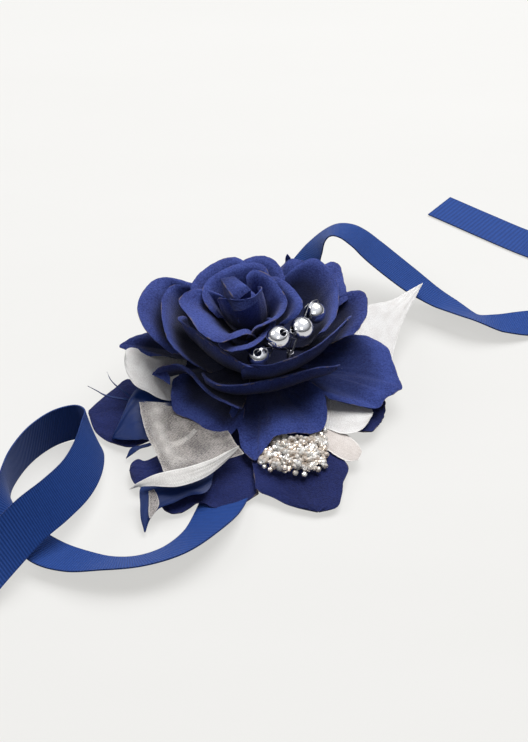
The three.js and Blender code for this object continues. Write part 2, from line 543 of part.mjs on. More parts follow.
// Each bead's middle, the direction of its bore, and where its wire leaves the binding
const beads = [
  { middle: [21.9, 8.4, 32.8], bore: [0.3, 0.6, 0.74], leave: [0.7, 0.7] },
  { middle: [17.1, -8, 38.8], bore: [-0.9, -0.4, 0.15], leave: [0.7, -0.2] },
  { middle: [9, -14.6, 40.2], bore: [0.45, -0.35, 0.82], leave: [-0.2, -0.7] },
  { middle: [2.4, -15.4, 32.4], bore: [-0.1, -0.5, 0.86], leave: [-0.7, -0.5] },
];
const LOOP_REACH = BEAD_DIAMETER / 2 + 1.6;
const LOOP_OUT = BEAD_DIAMETER / 2 + WIRE_DIAMETER / 2 + CLEARANCE;
beads.forEach((bead, n) => {
  const middle = new THREE.Vector3(...bead.middle);
  const bore = new THREE.Vector3(...bead.bore).normalize();
  const outer = BEAD_DIAMETER / 2;
  const inner = BEAD_BORE / 2;
  const edge = Math.asin(inner / outer);
  const profile = [];
  for (let k = 0; k <= 10; k++) {
    const turn = edge + ((Math.PI - 2 * edge) * k) / 10;
    profile.push(new THREE.Vector2(outer * Math.sin(turn), -outer * Math.cos(turn)));
  }
  profile.push(profile[0].clone());
  const ball = new THREE.LatheGeometry(profile, 16);
  const upright = new THREE.Vector3(0, 1, 0);
  ball.applyQuaternion(new THREE.Quaternion().setFromUnitVectors(upright, bore));
  ball.translate(middle.x, middle.y, middle.z);
  add("silver_bead_" + (n + 1), ball, silver);

  const top = bindingFoot.clone();
  top.z += BINDING_LENGTH + CLEARANCE;
  const leave = top.clone().add(new THREE.Vector3(bead.leave[0], bead.leave[1], 0));
  const down = leave.clone().sub(middle).normalize();
  down.addScaledVector(bore, -down.dot(bore)).normalize();
  const twist = middle.clone().addScaledVector(down, LOOP_REACH);
  const rise = leave.clone().add(new THREE.Vector3(0, 0, 2));
  const shoulder = (sign) =>
    middle.clone().addScaledVector(bore, 0.72 * sign * LOOP_OUT).addScaledVector(down, 0.86 * LOOP_OUT);
  const mouth = (sign) => middle.clone().addScaledVector(bore, sign * (LOOP_OUT - 0.1));
  const within = (sign) => middle.clone().addScaledVector(bore, sign * 0.5 * outer);
  const loop = [twist, shoulder(1), mouth(1), within(1), within(-1), mouth(-1), shoulder(-1)];
  const knot = new THREE.IcosahedronGeometry(0.9 * WIRE_DIAMETER, 0);
  knot.translate(twist.x, twist.y, twist.z);
  const stem = wire([leave, rise, twist.clone().lerp(rise, 0.4), twist], WIRE_DIAMETER, 8);
  add("bead_stem_" + (n + 1), joined([stem, wire(loop, WIRE_DIAMETER, 24, true), knot]), steelWire);
});

export default group;
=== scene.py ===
# %% [markdown]
# A wrist corsage: a fabric rose on a ring of velvet petals, with satin and organza leaves, a spray
# of silver beads, a knot of crystal beads and a ribbon with two free tails. The solid model of the
# part is loaded first and stays where it is. Every new piece is made in the same place, in metres,
# with its sizes written in millimetres. The front of the flower looks towards -Y, and +Z is up.

import math

import bmesh
import bpy
from mathutils import Matrix, Vector, noise


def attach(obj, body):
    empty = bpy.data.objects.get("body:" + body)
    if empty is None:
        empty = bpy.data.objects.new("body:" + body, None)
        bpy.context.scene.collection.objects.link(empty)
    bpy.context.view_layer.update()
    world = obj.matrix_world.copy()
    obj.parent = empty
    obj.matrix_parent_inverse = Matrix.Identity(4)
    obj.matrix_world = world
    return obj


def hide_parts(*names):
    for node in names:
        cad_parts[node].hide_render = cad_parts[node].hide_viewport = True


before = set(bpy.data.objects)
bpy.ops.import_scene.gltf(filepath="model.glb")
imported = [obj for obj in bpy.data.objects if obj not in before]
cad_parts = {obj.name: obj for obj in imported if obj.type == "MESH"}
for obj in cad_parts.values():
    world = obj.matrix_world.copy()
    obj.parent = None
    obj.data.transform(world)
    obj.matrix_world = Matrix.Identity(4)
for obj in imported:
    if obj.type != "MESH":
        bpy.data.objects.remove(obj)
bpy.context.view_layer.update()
MM = 0.001

# %% [markdown]
# The camera looks down on the corsage at 40 degrees with a long lens, so that far and near petals
# keep nearly the same scale. The picture is taller than wide, so the sensor's long side is vertical.

# %% Camera
EYE = Vector((4.2, -477.3, 413.5)) * MM
TARGET = Vector((4.2, -10, 21.4)) * MM
SENSOR_HEIGHT = 36
LENS = 85.05


def put(name, data):
    """Adds an object to the scene."""
    made = bpy.data.objects.new(name, data)
    bpy.context.scene.collection.objects.link(made)
    return made


def put_aimed(name, data, spot, aim):
    """Adds a camera or a lamp that stands at one spot and looks at another."""
    made = put(name, data)
    made.location = spot
    made.rotation_euler = (aim - spot).to_track_quat("-Z", "Y").to_euler()
    return made


camera_data = bpy.data.cameras.new("camera")
camera_data.sensor_fit = "VERTICAL"
camera_data.sensor_height = SENSOR_HEIGHT
camera_data.lens = LENS
bpy.context.scene.camera = put_aimed("camera", camera_data, EYE, TARGET)
bpy.context.scene.view_settings.view_transform = "Standard"
print("camera at", tuple(round(v, 3) for v in EYE))

# %% [markdown]
# Every finish is a small node tree on one shader. These helpers add the nodes that all of them
# share: a noise on the piece's own coordinates, a wave, a sum, a soft step, a mix of two colours and a
# bump. At the end a finish plugs its results and its plain settings into the shader by name.

# %% Helpers for finishes
def new_finish(name):
    material = bpy.data.materials.new(name)
    material.use_nodes = True
    return material, material.node_tree


def plug(tree, values, sockets):
    """Sets sockets by name or number, each to a plain value or to what another node gives."""
    for name, value in values.items():
        if isinstance(value, bpy.types.NodeSocket):
            tree.links.new(value, sockets[name])
        else:
            sockets[name].default_value = value


def finished(material, values):
    plug(material.node_tree, values, material.node_tree.nodes["Principled BSDF"].inputs)
    return material


def add(tree, kind, output, values, **settings):
    """Adds a node and gives back one of its outputs."""
    node = tree.nodes.new("ShaderNode" + kind)
    for name, value in settings.items():
        setattr(node, name, value)
    plug(tree, values, node.inputs)
    return node.outputs[output]


def place_on(tree, output="Object"):
    return add(tree, "TexCoord", output, {})


def attribute(tree, name):
    return add(tree, "Attribute", "Fac", {}, attribute_name=name)


def axis_of(tree, vector, axis):
    return add(tree, "SeparateXYZ", axis, {0: vector})


def stretched(tree, vector, scale):
    return add(tree, "Mapping", "Vector", {"Vector": vector, "Scale": scale})


def noise_on(tree, vector, scale, detail=2.0, roughness=0.5):
    values = {"Vector": vector, "Scale": scale, "Detail": detail, "Roughness": roughness}
    return add(tree, "TexNoise", "Fac", values)


def maths(tree, operation, first, second=0.0, clamp=False):
    return add(tree, "Math", 0, {0: first, 1: second}, operation=operation, use_clamp=clamp)


def weigh(tree, first, first_share, second, second_share):
    """The sum of two values, each times its share."""
    first = maths(tree, "MULTIPLY", first, first_share)
    return maths(tree, "ADD", first, maths(tree, "MULTIPLY", second, second_share))


def wave(tree, value, pitch):
    return maths(tree, "SINE", maths(tree, "MULTIPLY", value, 2 * math.pi / pitch))


def soft_step(tree, value, low, high, start=0.0, end=1.0):
    values = {"Value": value, "From Min": low, "From Max": high, "To Min": start, "To Max": end}
    return add(tree, "MapRange", "Result", values, interpolation_type="SMOOTHSTEP")


def mix_colours(tree, factor, first, second):
    return add(tree, "Mix", 2, {0: factor, 6: first, 7: second}, data_type="RGBA")


def bump(tree, height, depth, strength):
    return add(tree, "Bump", "Normal", {"Height": height, "Distance": depth, "Strength": strength})


def colour(red, green, blue):
    """An sRGB colour, 0 to 255, as the linear one that a shader takes."""
    def linear(value):
        share = value / 255
        return share / 12.92 if share < 0.04045 else ((share + 0.055) / 1.055) ** 2.4

    return linear(red), linear(green), linear(blue), 1.0


print("finish helpers ready")

# %% [markdown]
# Velvet has a short pile. Seen straight on it swallows light, and at its edges it glows a little,
# which the sheen gives. A coarse noise shifts the tone where the pile lies differently, and a fine
# one is the pile itself. The cut edge shows the pale backing cloth in places: the piece carries a
# rim attribute, the distance in millimetres from its cut edge, and the backing is mixed in there.
# A second attribute, depth, is the distance from the lip. Low down on a petal, shade is painted in:
# the colour darkens towards near-black with depth, where the petals around it shade the cloth. A few
# pale specks are lint.

# %% Velvet finish
BACKING = colour(118, 107, 102)
# The near-black that the painted shade darkens the petals towards, deep below their lips.
DEPTH_SHADE_COLOUR = colour(8, 10, 26)
LINT = colour(150, 150, 175)


def velvet_finish(name, deep, light, depth_shade):
    material, tree = new_finish(name)
    spot = place_on(tree)
    cloud = soft_step(tree, noise_on(tree, spot, 70, 3), 0.3, 0.7)
    pile = noise_on(tree, spot, 2600, 2)
    nap = noise_on(tree, spot, 1500, 3, 0.75)
    tone = maths(tree, "SUBTRACT", weigh(tree, cloud, 0.5, nap, 2.6), 1.05, True)
    cloth = mix_colours(tree, tone, deep, light)
    # Painted shade: below the lip the colour darkens towards near-black with depth, for the shade among the
    # petals.
    low = soft_step(tree, attribute(tree, "depth"), 3.5, 15.0, 0.0, depth_shade)
    cloth = mix_colours(tree, low, cloth, DEPTH_SHADE_COLOUR)
    cut = soft_step(tree, attribute(tree, "rim"), 0.02, 0.4, 0.85, 0.0)
    patches = soft_step(tree, noise_on(tree, spot, 300, 3), 0.5, 0.66)
    cloth = mix_colours(tree, maths(tree, "MULTIPLY", cut, patches), cloth, BACKING)
    specks = add(tree, "TexVoronoi", "Distance", {"Vector": spot, "Scale": 130})
    lint = soft_step(tree, specks, 0.018, 0.03, 0.55, 0.0)
    return finished(material, {
        "Base Color": mix_colours(tree, lint, cloth, LINT), "Roughness": 0.92, "Specular IOR Level": 0.08,
        "Sheen Weight": 0.2, "Sheen Roughness": 0.6, "Sheen Tint": colour(200, 200, 215),
        "Normal": bump(tree, maths(tree, "ADD", nap, pile), 0.3 * MM, 0.7)})


# The last number of each is how far painted shade darkens its petals deep down.
VELVET = velvet_finish("velvet", colour(38, 47, 104), colour(68, 84, 156), 0.86)
GUARD_VELVET = velvet_finish("guard_velvet", colour(36, 46, 104), colour(64, 82, 156), 0.5)
BASE_VELVET = velvet_finish("base_velvet", colour(20, 27, 70), colour(34, 45, 102), 0.0)
print("velvet finishes:", VELVET.name, GUARD_VELVET.name, BASE_VELVET.name)

# %% [markdown]
# Ribbon is grosgrain: thick weft threads make close ribs straight across it. The ribs follow the
# cloth, so they are a sine along the piece's own UV map, which is kept in millimetres. The same sine
# drives the bump and a small change of colour, and the two selvedges are a little darker.

# %% Grosgrain finish
RIBBON_WIDTH = 16.0
RIB_PITCH = 0.8


def grosgrain_finish():
    material, tree = new_finish("grosgrain")
    flat = place_on(tree, "UV")
    across, along = axis_of(tree, flat, "X"), axis_of(tree, flat, "Y")
    ribs = {0: wave(tree, along, RIB_PITCH), 1: 0.5, 2: 0.5}
    rib = add(tree, "Math", 0, ribs, operation="MULTIPLY_ADD")
    threads = noise_on(tree, stretched(tree, flat, (3.0, 0.25, 1)), 1.0, 3)
    tone = weigh(tree, rib, 0.55, threads, 0.55)
    cloth = mix_colours(tree, tone, colour(12, 43, 103), colour(30, 71, 146))
    from_middle = maths(tree, "ABSOLUTE", maths(tree, "SUBTRACT", across, RIBBON_WIDTH / 2))
    selvedge = soft_step(tree, from_middle, RIBBON_WIDTH / 2 - 0.7, RIBBON_WIDTH / 2 - 0.2, 0.0, 0.35)
    return finished(material, {
        "Base Color": mix_colours(tree, selvedge, cloth, colour(14, 34, 84)), "Roughness": 0.6,
        "Specular IOR Level": 0.16, "Sheen Weight": 0.08, "Normal": bump(tree, rib, 0.14 * MM, 0.7)})


GROSGRAIN = grosgrain_finish()
print("ribbon finish:", GROSGRAIN.name)

# %% [markdown]
# Satin is smooth because its warp threads float over many weft threads: it shines along one way, and
# its ribs are far finer than the ribbon's. Organza is a thin, stiff, open weave. It is mostly white
# where threads lie over each other and lets what is behind it show through between them, so its
# alpha follows the weave.

# %% Satin and organza finishes
ORGANZA_PITCH = 0.55
HEM = colour(248, 247, 245)


def satin_finish():
    material, tree = new_finish("satin")
    flat = place_on(tree, "UV")
    warp = noise_on(tree, stretched(tree, flat, (6.0, 0.4, 1)), 1.0, 3)
    cloud = noise_on(tree, place_on(tree), 60, 2)
    cloth = mix_colours(tree, weigh(tree, warp, 0.6, cloud, 0.4), colour(5, 21, 64), colour(20, 53, 118))
    return finished(material, {
        "Base Color": cloth, "Roughness": 0.4, "Specular IOR Level": 0.17,
        "Normal": bump(tree, warp, 0.06 * MM, 0.5)})


def organza_finish(name, thread, shade, thin, thick, edge=0.6, reach=0.7):
    """thin and thick are the alpha between and on the threads, edge and reach those of the hem."""
    material, tree = new_finish(name)
    flat = place_on(tree, "UV")
    warp, weft = (wave(tree, axis_of(tree, flat, axis), ORGANZA_PITCH) for axis in ("X", "Y"))
    weave = maths(tree, "MAXIMUM", warp, weft)
    slub = noise_on(tree, stretched(tree, flat, (1.2, 3.2, 1)), 1.0, 4, 0.7)
    cloud = noise_on(tree, flat, 0.16, 2)
    tone = soft_step(tree, weigh(tree, slub, 0.6, cloud, 0.4), 0.41, 0.59)
    hem = soft_step(tree, attribute(tree, "rim"), 0.05, reach, edge, 0.0)
    gap = soft_step(tree, weigh(tree, weave, 0.25, slub, 0.9), 0.2, 0.85, thin, thick)
    return finished(material, {
        "Base Color": mix_colours(tree, hem, mix_colours(tree, tone, shade, thread), HEM),
        "Alpha": maths(tree, "ADD", gap, hem, True), "Roughness": 0.6, "Sheen Weight": 0.2,
        "Normal": bump(tree, weave, 0.05 * MM, 0.4)})


SATIN = satin_finish()
# The organza is white. The first finish below and the thin one are greyed copies of it: painted shade for the
# front left leaf and its layer, which lie in the rose's shade. The thin one is also the more see-through one.
SHADED_ORGANZA = organza_finish("organza", colour(218, 213, 209), colour(160, 155, 151), 0.72, 0.96, -0.9, 6.0)
SHEER = organza_finish("organza_sheer", colour(248, 247, 246), colour(234, 231, 229), 0.68, 0.95)
BLUSH = organza_finish("organza_blush", colour(236, 228, 223), colour(222, 212, 206), 0.6, 0.9)
THIN_SHADED = organza_finish("organza_thin", colour(208, 201, 195), colour(140, 134, 130), 0.3, 0.66, 0.25)
WHITE = organza_finish("organza_white", colour(251, 250, 248), colour(232, 229, 227), 0.85, 1.0)
BAND = organza_finish("organza_band", colour(232, 230, 227), colour(208, 205, 202), 0.85, 1.0)
print("leaf finishes:", [made.name for made in (SATIN, SHADED_ORGANZA, SHEER, BLUSH, THIN_SHADED, WHITE, BAND)])

# %% [markdown]
# The beads are plated silver, with a mirror finish that fine scratches soften. The wire is duller
# steel. The crystal is foil-backed: part of it mirrors the light and part of it lets it through. The
# felt and the stiff core are matt, with fibres and pores.

# %% Metal, crystal and backing finishes
def metal_finish(name, tint, smooth, rough, grain):
    material, tree = new_finish(name)
    scratches = noise_on(tree, stretched(tree, place_on(tree), (1.0, 1.0, 4.0)), grain, 4)
    dull = tuple(0.82 * c for c in tint[:3]) + (1.0,)
    return finished(material, {
        "Base Color": mix_colours(tree, scratches, tint, dull), "Metallic": 1.0,
        "Roughness": soft_step(tree, scratches, 0.3, 0.7, smooth, rough)})


def crystal_finish():
    material, tree = new_finish("crystal")
    spot = place_on(tree)
    glint = soft_step(tree, noise_on(tree, spot, 320, 2), 0.35, 0.65)
    return finished(material, {
        "Base Color": mix_colours(tree, glint, colour(240, 226, 212), colour(255, 254, 251)),
        "Metallic": soft_step(tree, noise_on(tree, spot, 210, 2), 0.5, 0.56, 0.0, 0.6),
        "Roughness": soft_step(tree, glint, 0.0, 1.0, 0.03, 0.1), "Transmission Weight": 0.45, "IOR": 1.5})


def fibre_finish(name, deep, light, scale, depth):
    material, tree = new_finish(name)
    fibres = noise_on(tree, stretched(tree, place_on(tree), (1.0, 1.0, 2.5)), scale, 5, 0.7)
    return finished(material, {
        "Base Color": mix_colours(tree, fibres, deep, light), "Roughness": 0.95, "Specular IOR Level": 0.1,
        "Normal": bump(tree, fibres, depth, 0.8)})


SILVER = metal_finish("silver", colour(226, 226, 230), 0.1, 0.2, 900)
WIRE = metal_finish("wire", colour(176, 176, 182), 0.25, 0.42, 2600)
CRYSTAL = crystal_finish()
FELT = fibre_finish("felt", colour(18, 22, 50), colour(38, 46, 92), 900, 0.3 * MM)
CORE = fibre_finish("core", colour(24, 30, 66), colour(44, 54, 108), 1400, 0.15 * MM)
for node in ("base_disc", "rose_core"):
    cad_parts[node].data.materials.clear()
    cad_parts[node].data.materials.append(CORE)
print("hard finishes:", SILVER.name, WIRE.name, CRYSTAL.name, FELT.name, CORE.name)

# %% [markdown]
# Each finished piece is one mesh at the origin. This helper makes the object, gives it its finish,
# lets it move with a body of the solid model and hides the solids that it stands for.

# %% Helper for finished pieces
CUT_ANGLE = math.radians(50)


def piece(name, mesh, material, body, slot, *nodes):
    mesh.materials.append(material)
    mesh.shade_smooth()
    made = put(name, mesh)
    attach(made, body)
    if nodes:
        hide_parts(*nodes)
    return made


def thicken(made, thickness):
    """Gives a sheet its thickness, to both sides alike, and keeps its cut edge sharp."""
    wall = made.modifiers.new("thickness", "SOLIDIFY")
    wall.thickness = thickness * MM
    wall.offset = 0
    edge = made.modifiers.new("cut edge", "EDGE_SPLIT")
    edge.split_angle = CUT_ANGLE
    edge.use_edge_sharp = False


def mesh_of(name, work):
    mesh = bpy.data.meshes.new(name)
    work.to_mesh(mesh)
    work.free()
    return mesh


print("piece helper ready")

# %% [markdown]
# The ribbon runs under the flower and lies on the table as two free tails. Each tail follows
# stations: x, y, the height of its lower edge, and its lean, where 0 or 180 is flat and 90 stands on
# edge. A smooth curve passes through the stations, and a second one carries the lean.

# %% Ribbon stations
FELT_RADIUS = 26.0
FELT_THICKNESS = 1.5
CLEARANCE = 0.3
RIBBON_THICKNESS = 0.6
STRAP_Z = FELT_THICKNESS + CLEARANCE
STRAP_REACH = FELT_RADIUS + 2
STRAP_TURN = math.radians(-12)
STRAP_WAY = Vector((-math.sin(STRAP_TURN), math.cos(STRAP_TURN), 0))
TABLE_GAP = 0.3
start = STRAP_WAY * (STRAP_REACH + CLEARANCE)
lead = STRAP_WAY * (STRAP_REACH + CLEARANCE + RIBBON_WIDTH / 2)
LEFT_TAIL = [
    (-start.x, -start.y, STRAP_Z, 180),
    (-lead.x, -lead.y, 1.2, 180),
    (-8.2, -43, 0.5, 180),
    (-8.8, -51, TABLE_GAP, 175),
    (-11.5, -61, TABLE_GAP, 165),
    (-16.5, -71.5, TABLE_GAP, 151),
    (-25, -80.5, TABLE_GAP, 147),
    (-35.5, -85.3, TABLE_GAP, 146),
    (-46, -86, TABLE_GAP, 149),
    (-56.8, -83.5, TABLE_GAP, 161),
    (-66.3, -79, TABLE_GAP, 165),
    (-74.5, -71.5, TABLE_GAP, 150),
    (-80, -61, TABLE_GAP, 115),
    (-81.9, -51, TABLE_GAP, 92),
    (-79.5, -41, TABLE_GAP, 90),
    (-74.5, -31.5, TABLE_GAP, 90),
    (-67.5, -24.5, TABLE_GAP, 90),
    (-60.5, -22.5, 0.8, 88),
    (-55.8, -26.5, 2.5, 80),
    (-54.3, -34.5, 4.5, 65),
    (-55, -45, 5.5, 58),
    (-58, -56, 6.5, 56),
    (-63.9, -67, 7.8, 54),
    (-71, -76.4, 8.2, 50),
    (-79.7, -87.4, 6, 40),
    (-89, -98, 3, 20),
    (-97, -106, 0.8, 5),
]
RIGHT_TAIL = [
    (start.x, start.y, STRAP_Z, 0),
    (lead.x, lead.y, 1.2, 0),
    (9.4, 45, 0.5, 6),
    (11.5, 54, 0.6, 8),
    (15.2, 61.5, 2.4, 10),
    (19.5, 66.5, 6.6, 16),
    (23.4, 69, 13, 22),
    (27.2, 69.8, 18.6, 24),
    (31.2, 69.6, 22, 19),
    (35.8, 68.6, 22.6, 14),
    (40.4, 66.9, 21, 11),
    (45, 64.8, 18, 9),
    (49.8, 62.2, 15, 9),
    (56.3, 58.4, 11.2, 10),
    (63.5, 54, 7.2, 13),
    (72, 49.2, 3, 20),
    (83, 41.7, 0.4, 31),
    (93, 40.4, TABLE_GAP, 15),
    (104, 42.2, TABLE_GAP, 4),
    (116, 44, TABLE_GAP, 15),
    (128, 47, TABLE_GAP, 60),
    (137, 54, TABLE_GAP, 88),
    (140, 65, TABLE_GAP, 90),
    (136, 76, TABLE_GAP, 88),
    (128, 83, TABLE_GAP, 60),
    (119, 88, TABLE_GAP, 15),
    (110, 94, TABLE_GAP, 2),
    (93, 107.4, TABLE_GAP, 0),
    (76.5, 120.8, TABLE_GAP, 0),
]
print("ribbon stations:", len(LEFT_TAIL), "left,", len(RIGHT_TAIL), "right")

# %% [markdown]
# The smooth curve is a centripetal Catmull-Rom curve, which passes through every station and never
# overshoots between two of them. The same curve draws the petals, the leaves and the wires later on.

# %% Smooth curve through points
def smooth_curve(points, closed=False):
    spots = [Vector(p) for p in points]
    count = len(spots)
    spans = count if closed else count - 1

    def spot_at(index):
        if closed:
            return spots[index % count]
        if index < 0:
            return 2 * spots[0] - spots[1]
        if index >= count:
            return 2 * spots[-1] - spots[-2]
        return spots[index]

    def at(share):
        run = min(max(share, 0.0), 1.0) * spans
        first = min(int(run), spans - 1)
        weight = run - first
        p0, p1, p2, p3 = (spot_at(first + k) for k in (-1, 0, 1, 2))
        gap0, gap1, gap2 = (max((b - a).length, 1e-6) ** 0.5 for a, b in ((p0, p1), (p1, p2), (p2, p3)))
        pull1 = ((p1 - p0) / gap0 - (p2 - p0) / (gap0 + gap1) + (p2 - p1) / gap1) * gap1
        pull2 = ((p2 - p1) / gap1 - (p3 - p1) / (gap1 + gap2) + (p3 - p2) / gap2) * gap1
        bend = 3 * (p2 - p1) - 2 * pull1 - pull2
        swing = 2 * (p1 - p2) + pull1 + pull2
        return p1 + pull1 * weight + bend * weight ** 2 + swing * weight ** 3

    return at


def run_of(points):
    """The length of the line through some points."""
    return sum((b - a).length for a, b in zip(points, points[1:]))


print("curve helpers ready")

# %% [markdown]
# A tail starts as a flat grid, cut to the ribbon's width, whose vertices are then moved along the
# curve. That keeps the grid's UV map, so the ribs of the weave stay straight across the ribbon
# however it turns. The solidify modifier gives it the ribbon's thickness.

# %% Ribbon tails
TAIL_ROWS = 420
TAIL_COLUMNS = 10
RIBBON_CLOTH = 0.45
STEP = 1e-3


def flat_cloth(columns, rows, width, length):
    """A grid from -1 to 1 with a UV map in millimetres."""
    work = bmesh.new()
    flat = work.loops.layers.uv.new("cloth")
    bmesh.ops.create_grid(work, x_segments=columns, y_segments=rows, size=1, calc_uvs=True)
    for face in work.faces:
        for loop in face.loops:
            u, v = loop[flat].uv
            loop[flat].uv = (u * width, v * length)
    return work


def tail_frame(stations):
    line = smooth_curve([s[:3] for s in stations])
    leans = smooth_curve([(s[0], s[1], s[3]) for s in stations])

    def at(share):
        middle = line(share)
        lean = math.radians(leans(share).z)
        ahead = line(share + STEP) - line(share - STEP)
        ahead.z = 0
        ahead.normalize()
        across = Vector((ahead.y, -ahead.x, 0)) * math.cos(lean)
        across.z = math.sin(lean)
        middle.z += RIBBON_WIDTH / 2 * abs(math.sin(lean)) + RIBBON_THICKNESS / 2 * abs(math.cos(lean))
        return middle, across

    return at


def ribbon_tail(name, stations):
    at = tail_frame(stations)
    centres = [at(k / TAIL_ROWS)[0] * MM for k in range(TAIL_ROWS + 1)]
    length = run_of(centres)
    work = flat_cloth(TAIL_COLUMNS, TAIL_ROWS, RIBBON_WIDTH, length / MM)
    for vert in work.verts:
        middle, across = at((vert.co.y + 1) / 2)
        vert.co = (middle + across * vert.co.x * RIBBON_WIDTH / 2) * MM
    tail = piece(name + "_cloth", mesh_of(name, work), GROSGRAIN, "corsage", "grosgrain", name)
    thicken(tail, RIBBON_CLOTH)
    tuple(centres[0])
    print(name, "is", round(length / MM), "mm long")


ribbon_tail("ribbon_left_tail", LEFT_TAIL)
ribbon_tail("ribbon_right_tail", RIGHT_TAIL)

# %% [markdown]
# Under the flower the ribbon is glued flat between a felt disc, which lies on the wrist, and the
# base disc. The strap is one more grid with the same weave. The felt is a disc whose edge is
# bevelled and roughened, as cut felt is.

# %% Strap and felt
FELT_BEVEL = 0.35
FELT_RUFFLE = 0.006
work = flat_cloth(8, 40, RIBBON_WIDTH, 2 * STRAP_REACH)
for vert in work.verts:
    spot = Vector((vert.co.x * RIBBON_WIDTH / 2, vert.co.y * STRAP_REACH, 0))
    spot = Matrix.Rotation(STRAP_TURN, 3, "Z") @ spot
    spot.z = STRAP_Z + RIBBON_THICKNESS / 2
    vert.co = spot * MM
strap = mesh_of("strap", work)
strap = piece("ribbon_strap_cloth", strap, GROSGRAIN, "corsage", "grosgrain", "ribbon_strap")
thicken(strap, RIBBON_CLOTH)

work = bmesh.new()
bmesh.ops.create_cone(work, cap_ends=True, segments=96, radius1=FELT_RADIUS * MM,
                      radius2=FELT_RADIUS * MM, depth=FELT_THICKNESS * MM)
rims = [e for e in work.edges if len({round(v.co.z, 5) for v in e.verts}) == 1 and e.is_manifold]
bmesh.ops.bevel(work, geom=rims, offset=FELT_BEVEL * MM, affect="EDGES", segments=2, profile=0.5,
                material=-1)
for vert in work.verts:
    ruffled = 1 + FELT_RUFFLE * noise.noise(vert.co * 900)
    height = vert.co.z + FELT_THICKNESS / 2 * MM
    vert.co = Vector((vert.co.x * ruffled, vert.co.y * ruffled, height))
felt = piece("felt_backing_cloth", mesh_of("felt", work), FELT, "corsage", "felt", "felt_backing")
print("strap", round(2 * STRAP_REACH), "mm long, felt", round(2 * FELT_RADIUS), "mm across")

# %% [markdown]
# Every petal and leaf is cut from flat cloth and pressed to shape. Each one starts as a grid from
# -1 to 1, its corners are drawn in so that its outline is a petal's, and a formula says where each
# point of the cloth lies. The plainest one stretches the cloth between two edges. A little noise along
# the normal is the cloth's own unevenness, and a little at the border is the cut edge. The rim and
# depth attributes and the UV map are kept in millimetres. Turned lips and ribs are narrow strips in
# the same mesh.

# %% Helper for cloth
FRAY = 0.016
CREASE = 0.22
STRIP_COLUMNS = 2
STRIP_ROWS = 24
WIDTH_SPOTS = 8
LENGTH_SPOTS = 12
LEAST_SIDE = 10.0


def bezier(v, t):
    u = 1 - t
    return u ** 3 * v[0] + 3 * u * u * t * v[1] + 3 * u * t * t * v[2] + t ** 3 * v[3]


def opening(neck, t):
    """How wide a petal is at t, as a share of its full width."""
    return neck + (1 - neck) * math.sin(math.pi / 2 * min(1, max(0, t)))


def between(one, two, bow=0.0, ridge=(0, 1, 0)):
    """Cloth between two edges. ridge is a soft fold along it: its place, its width and its height."""
    first, second = smooth_curve(one), smooth_curve(two)

    def surface(x, t):
        spot = first(t).lerp(second(t), (x + 1) / 2)
        fold = ridge[2] * math.exp(-((x - ridge[0]) / ridge[1]) ** 2)
        spot.z += (bow * (1 - x * x) + fold) * math.sin(math.pi * min(1, max(0, t))) ** 0.5
        return spot

    return surface


def cloth_grid(surface, round_off, columns, rows, seed, crease):
    rungs = [[surface(x, k / WIDTH_SPOTS) for x in (-1, 0, 1)] for k in range(1, WIDTH_SPOTS)]
    width = max(run_of(rung) for rung in rungs)
    length = run_of([surface(0, k / LENGTH_SPOTS) for k in range(LENGTH_SPOTS + 1)])
    work = flat_cloth(columns, rows, width, length)
    rim = work.verts.layers.float.new("rim")
    depth = work.verts.layers.float.new("depth")
    for vert in work.verts:
        a, b = vert.co.x, vert.co.y
        vert[depth] = (1 - b) * length / 2
        vert[rim] = min((1 - abs(a)) * width / 2, vert[depth])
        frayed_a = a * (1 + FRAY * noise.noise((b * 9, seed, 3.1)) * abs(a) ** 8)
        frayed = noise.noise((a * 9, seed, 7.7)) + 0.5 * noise.noise((a * 31, seed, 1.3))
        frayed_b = b + FRAY * frayed * max(b, 0) ** 8
        x = frayed_a * math.sqrt(1 - round_off * b * b / 2)
        t = (1 + frayed_b * math.sqrt(1 - round_off * a * a / 2)) / 2
        across = surface(x + STEP, t) - surface(x - STEP, t)
        along = surface(x, t + STEP) - surface(x, t - STEP)
        normal = across.cross(along).normalized()
        fold = noise.noise((x * 3.1, t * 1.5, seed)) + 0.5 * noise.noise((x * 9, t * 2.2, seed + 5))
        vert.co = (surface(x, t) + normal * crease * fold * min(1, 2 * t)) * MM
    return work


def cloth_piece(node, surface, round_off, finish, slot, thickness, columns=44, rows=32, crease=CREASE,
                strips=()):
    seed = sum(ord(letter) * (k + 1) for k, letter in enumerate(node)) % 97 + 0.5
    work = cloth_grid(surface, round_off, columns, rows, seed, crease)
    for strip in strips:
        work.from_mesh(mesh_of(node, cloth_grid(strip, 0, STRIP_COLUMNS, STRIP_ROWS, seed, 0)))
    area = sum(face.calc_area() for face in work.faces)
    flat = work.loops.layers.uv.active
    us, vs = zip(*(tuple(loop[flat].uv) for face in work.faces for loop in face.loops))
    long = max(max(vs), LEAST_SIDE)
    wide = max(max(us) - min(us), area / (MM * MM * long), LEAST_SIDE)
    solids = [node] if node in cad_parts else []
    made = piece(node + "_cloth", mesh_of(node, work), finish, "corsage", slot, *solids)
    thicken(made, thickness)


print("cloth helper ready")

# %% [markdown]
# The rose petals stand round the rose's leaning axis. Each one is drawn from its lip: a smooth curve
# through a few points, given as an angle, a distance from the axis and a height. From the lip the
# cloth runs down to the core, which it meets at the height seat. waist is how far it bulges low down,
# flare how far the lip turns outward, or inward where it is negative, and rise how far the cloth climbs
# above the lip first. curl rolls the lip over, neck is the share of its width at the foot, and taper
# takes the flare back towards the right end. The roll on top of the bud is cloth between two edges,
# with its walls as strips.

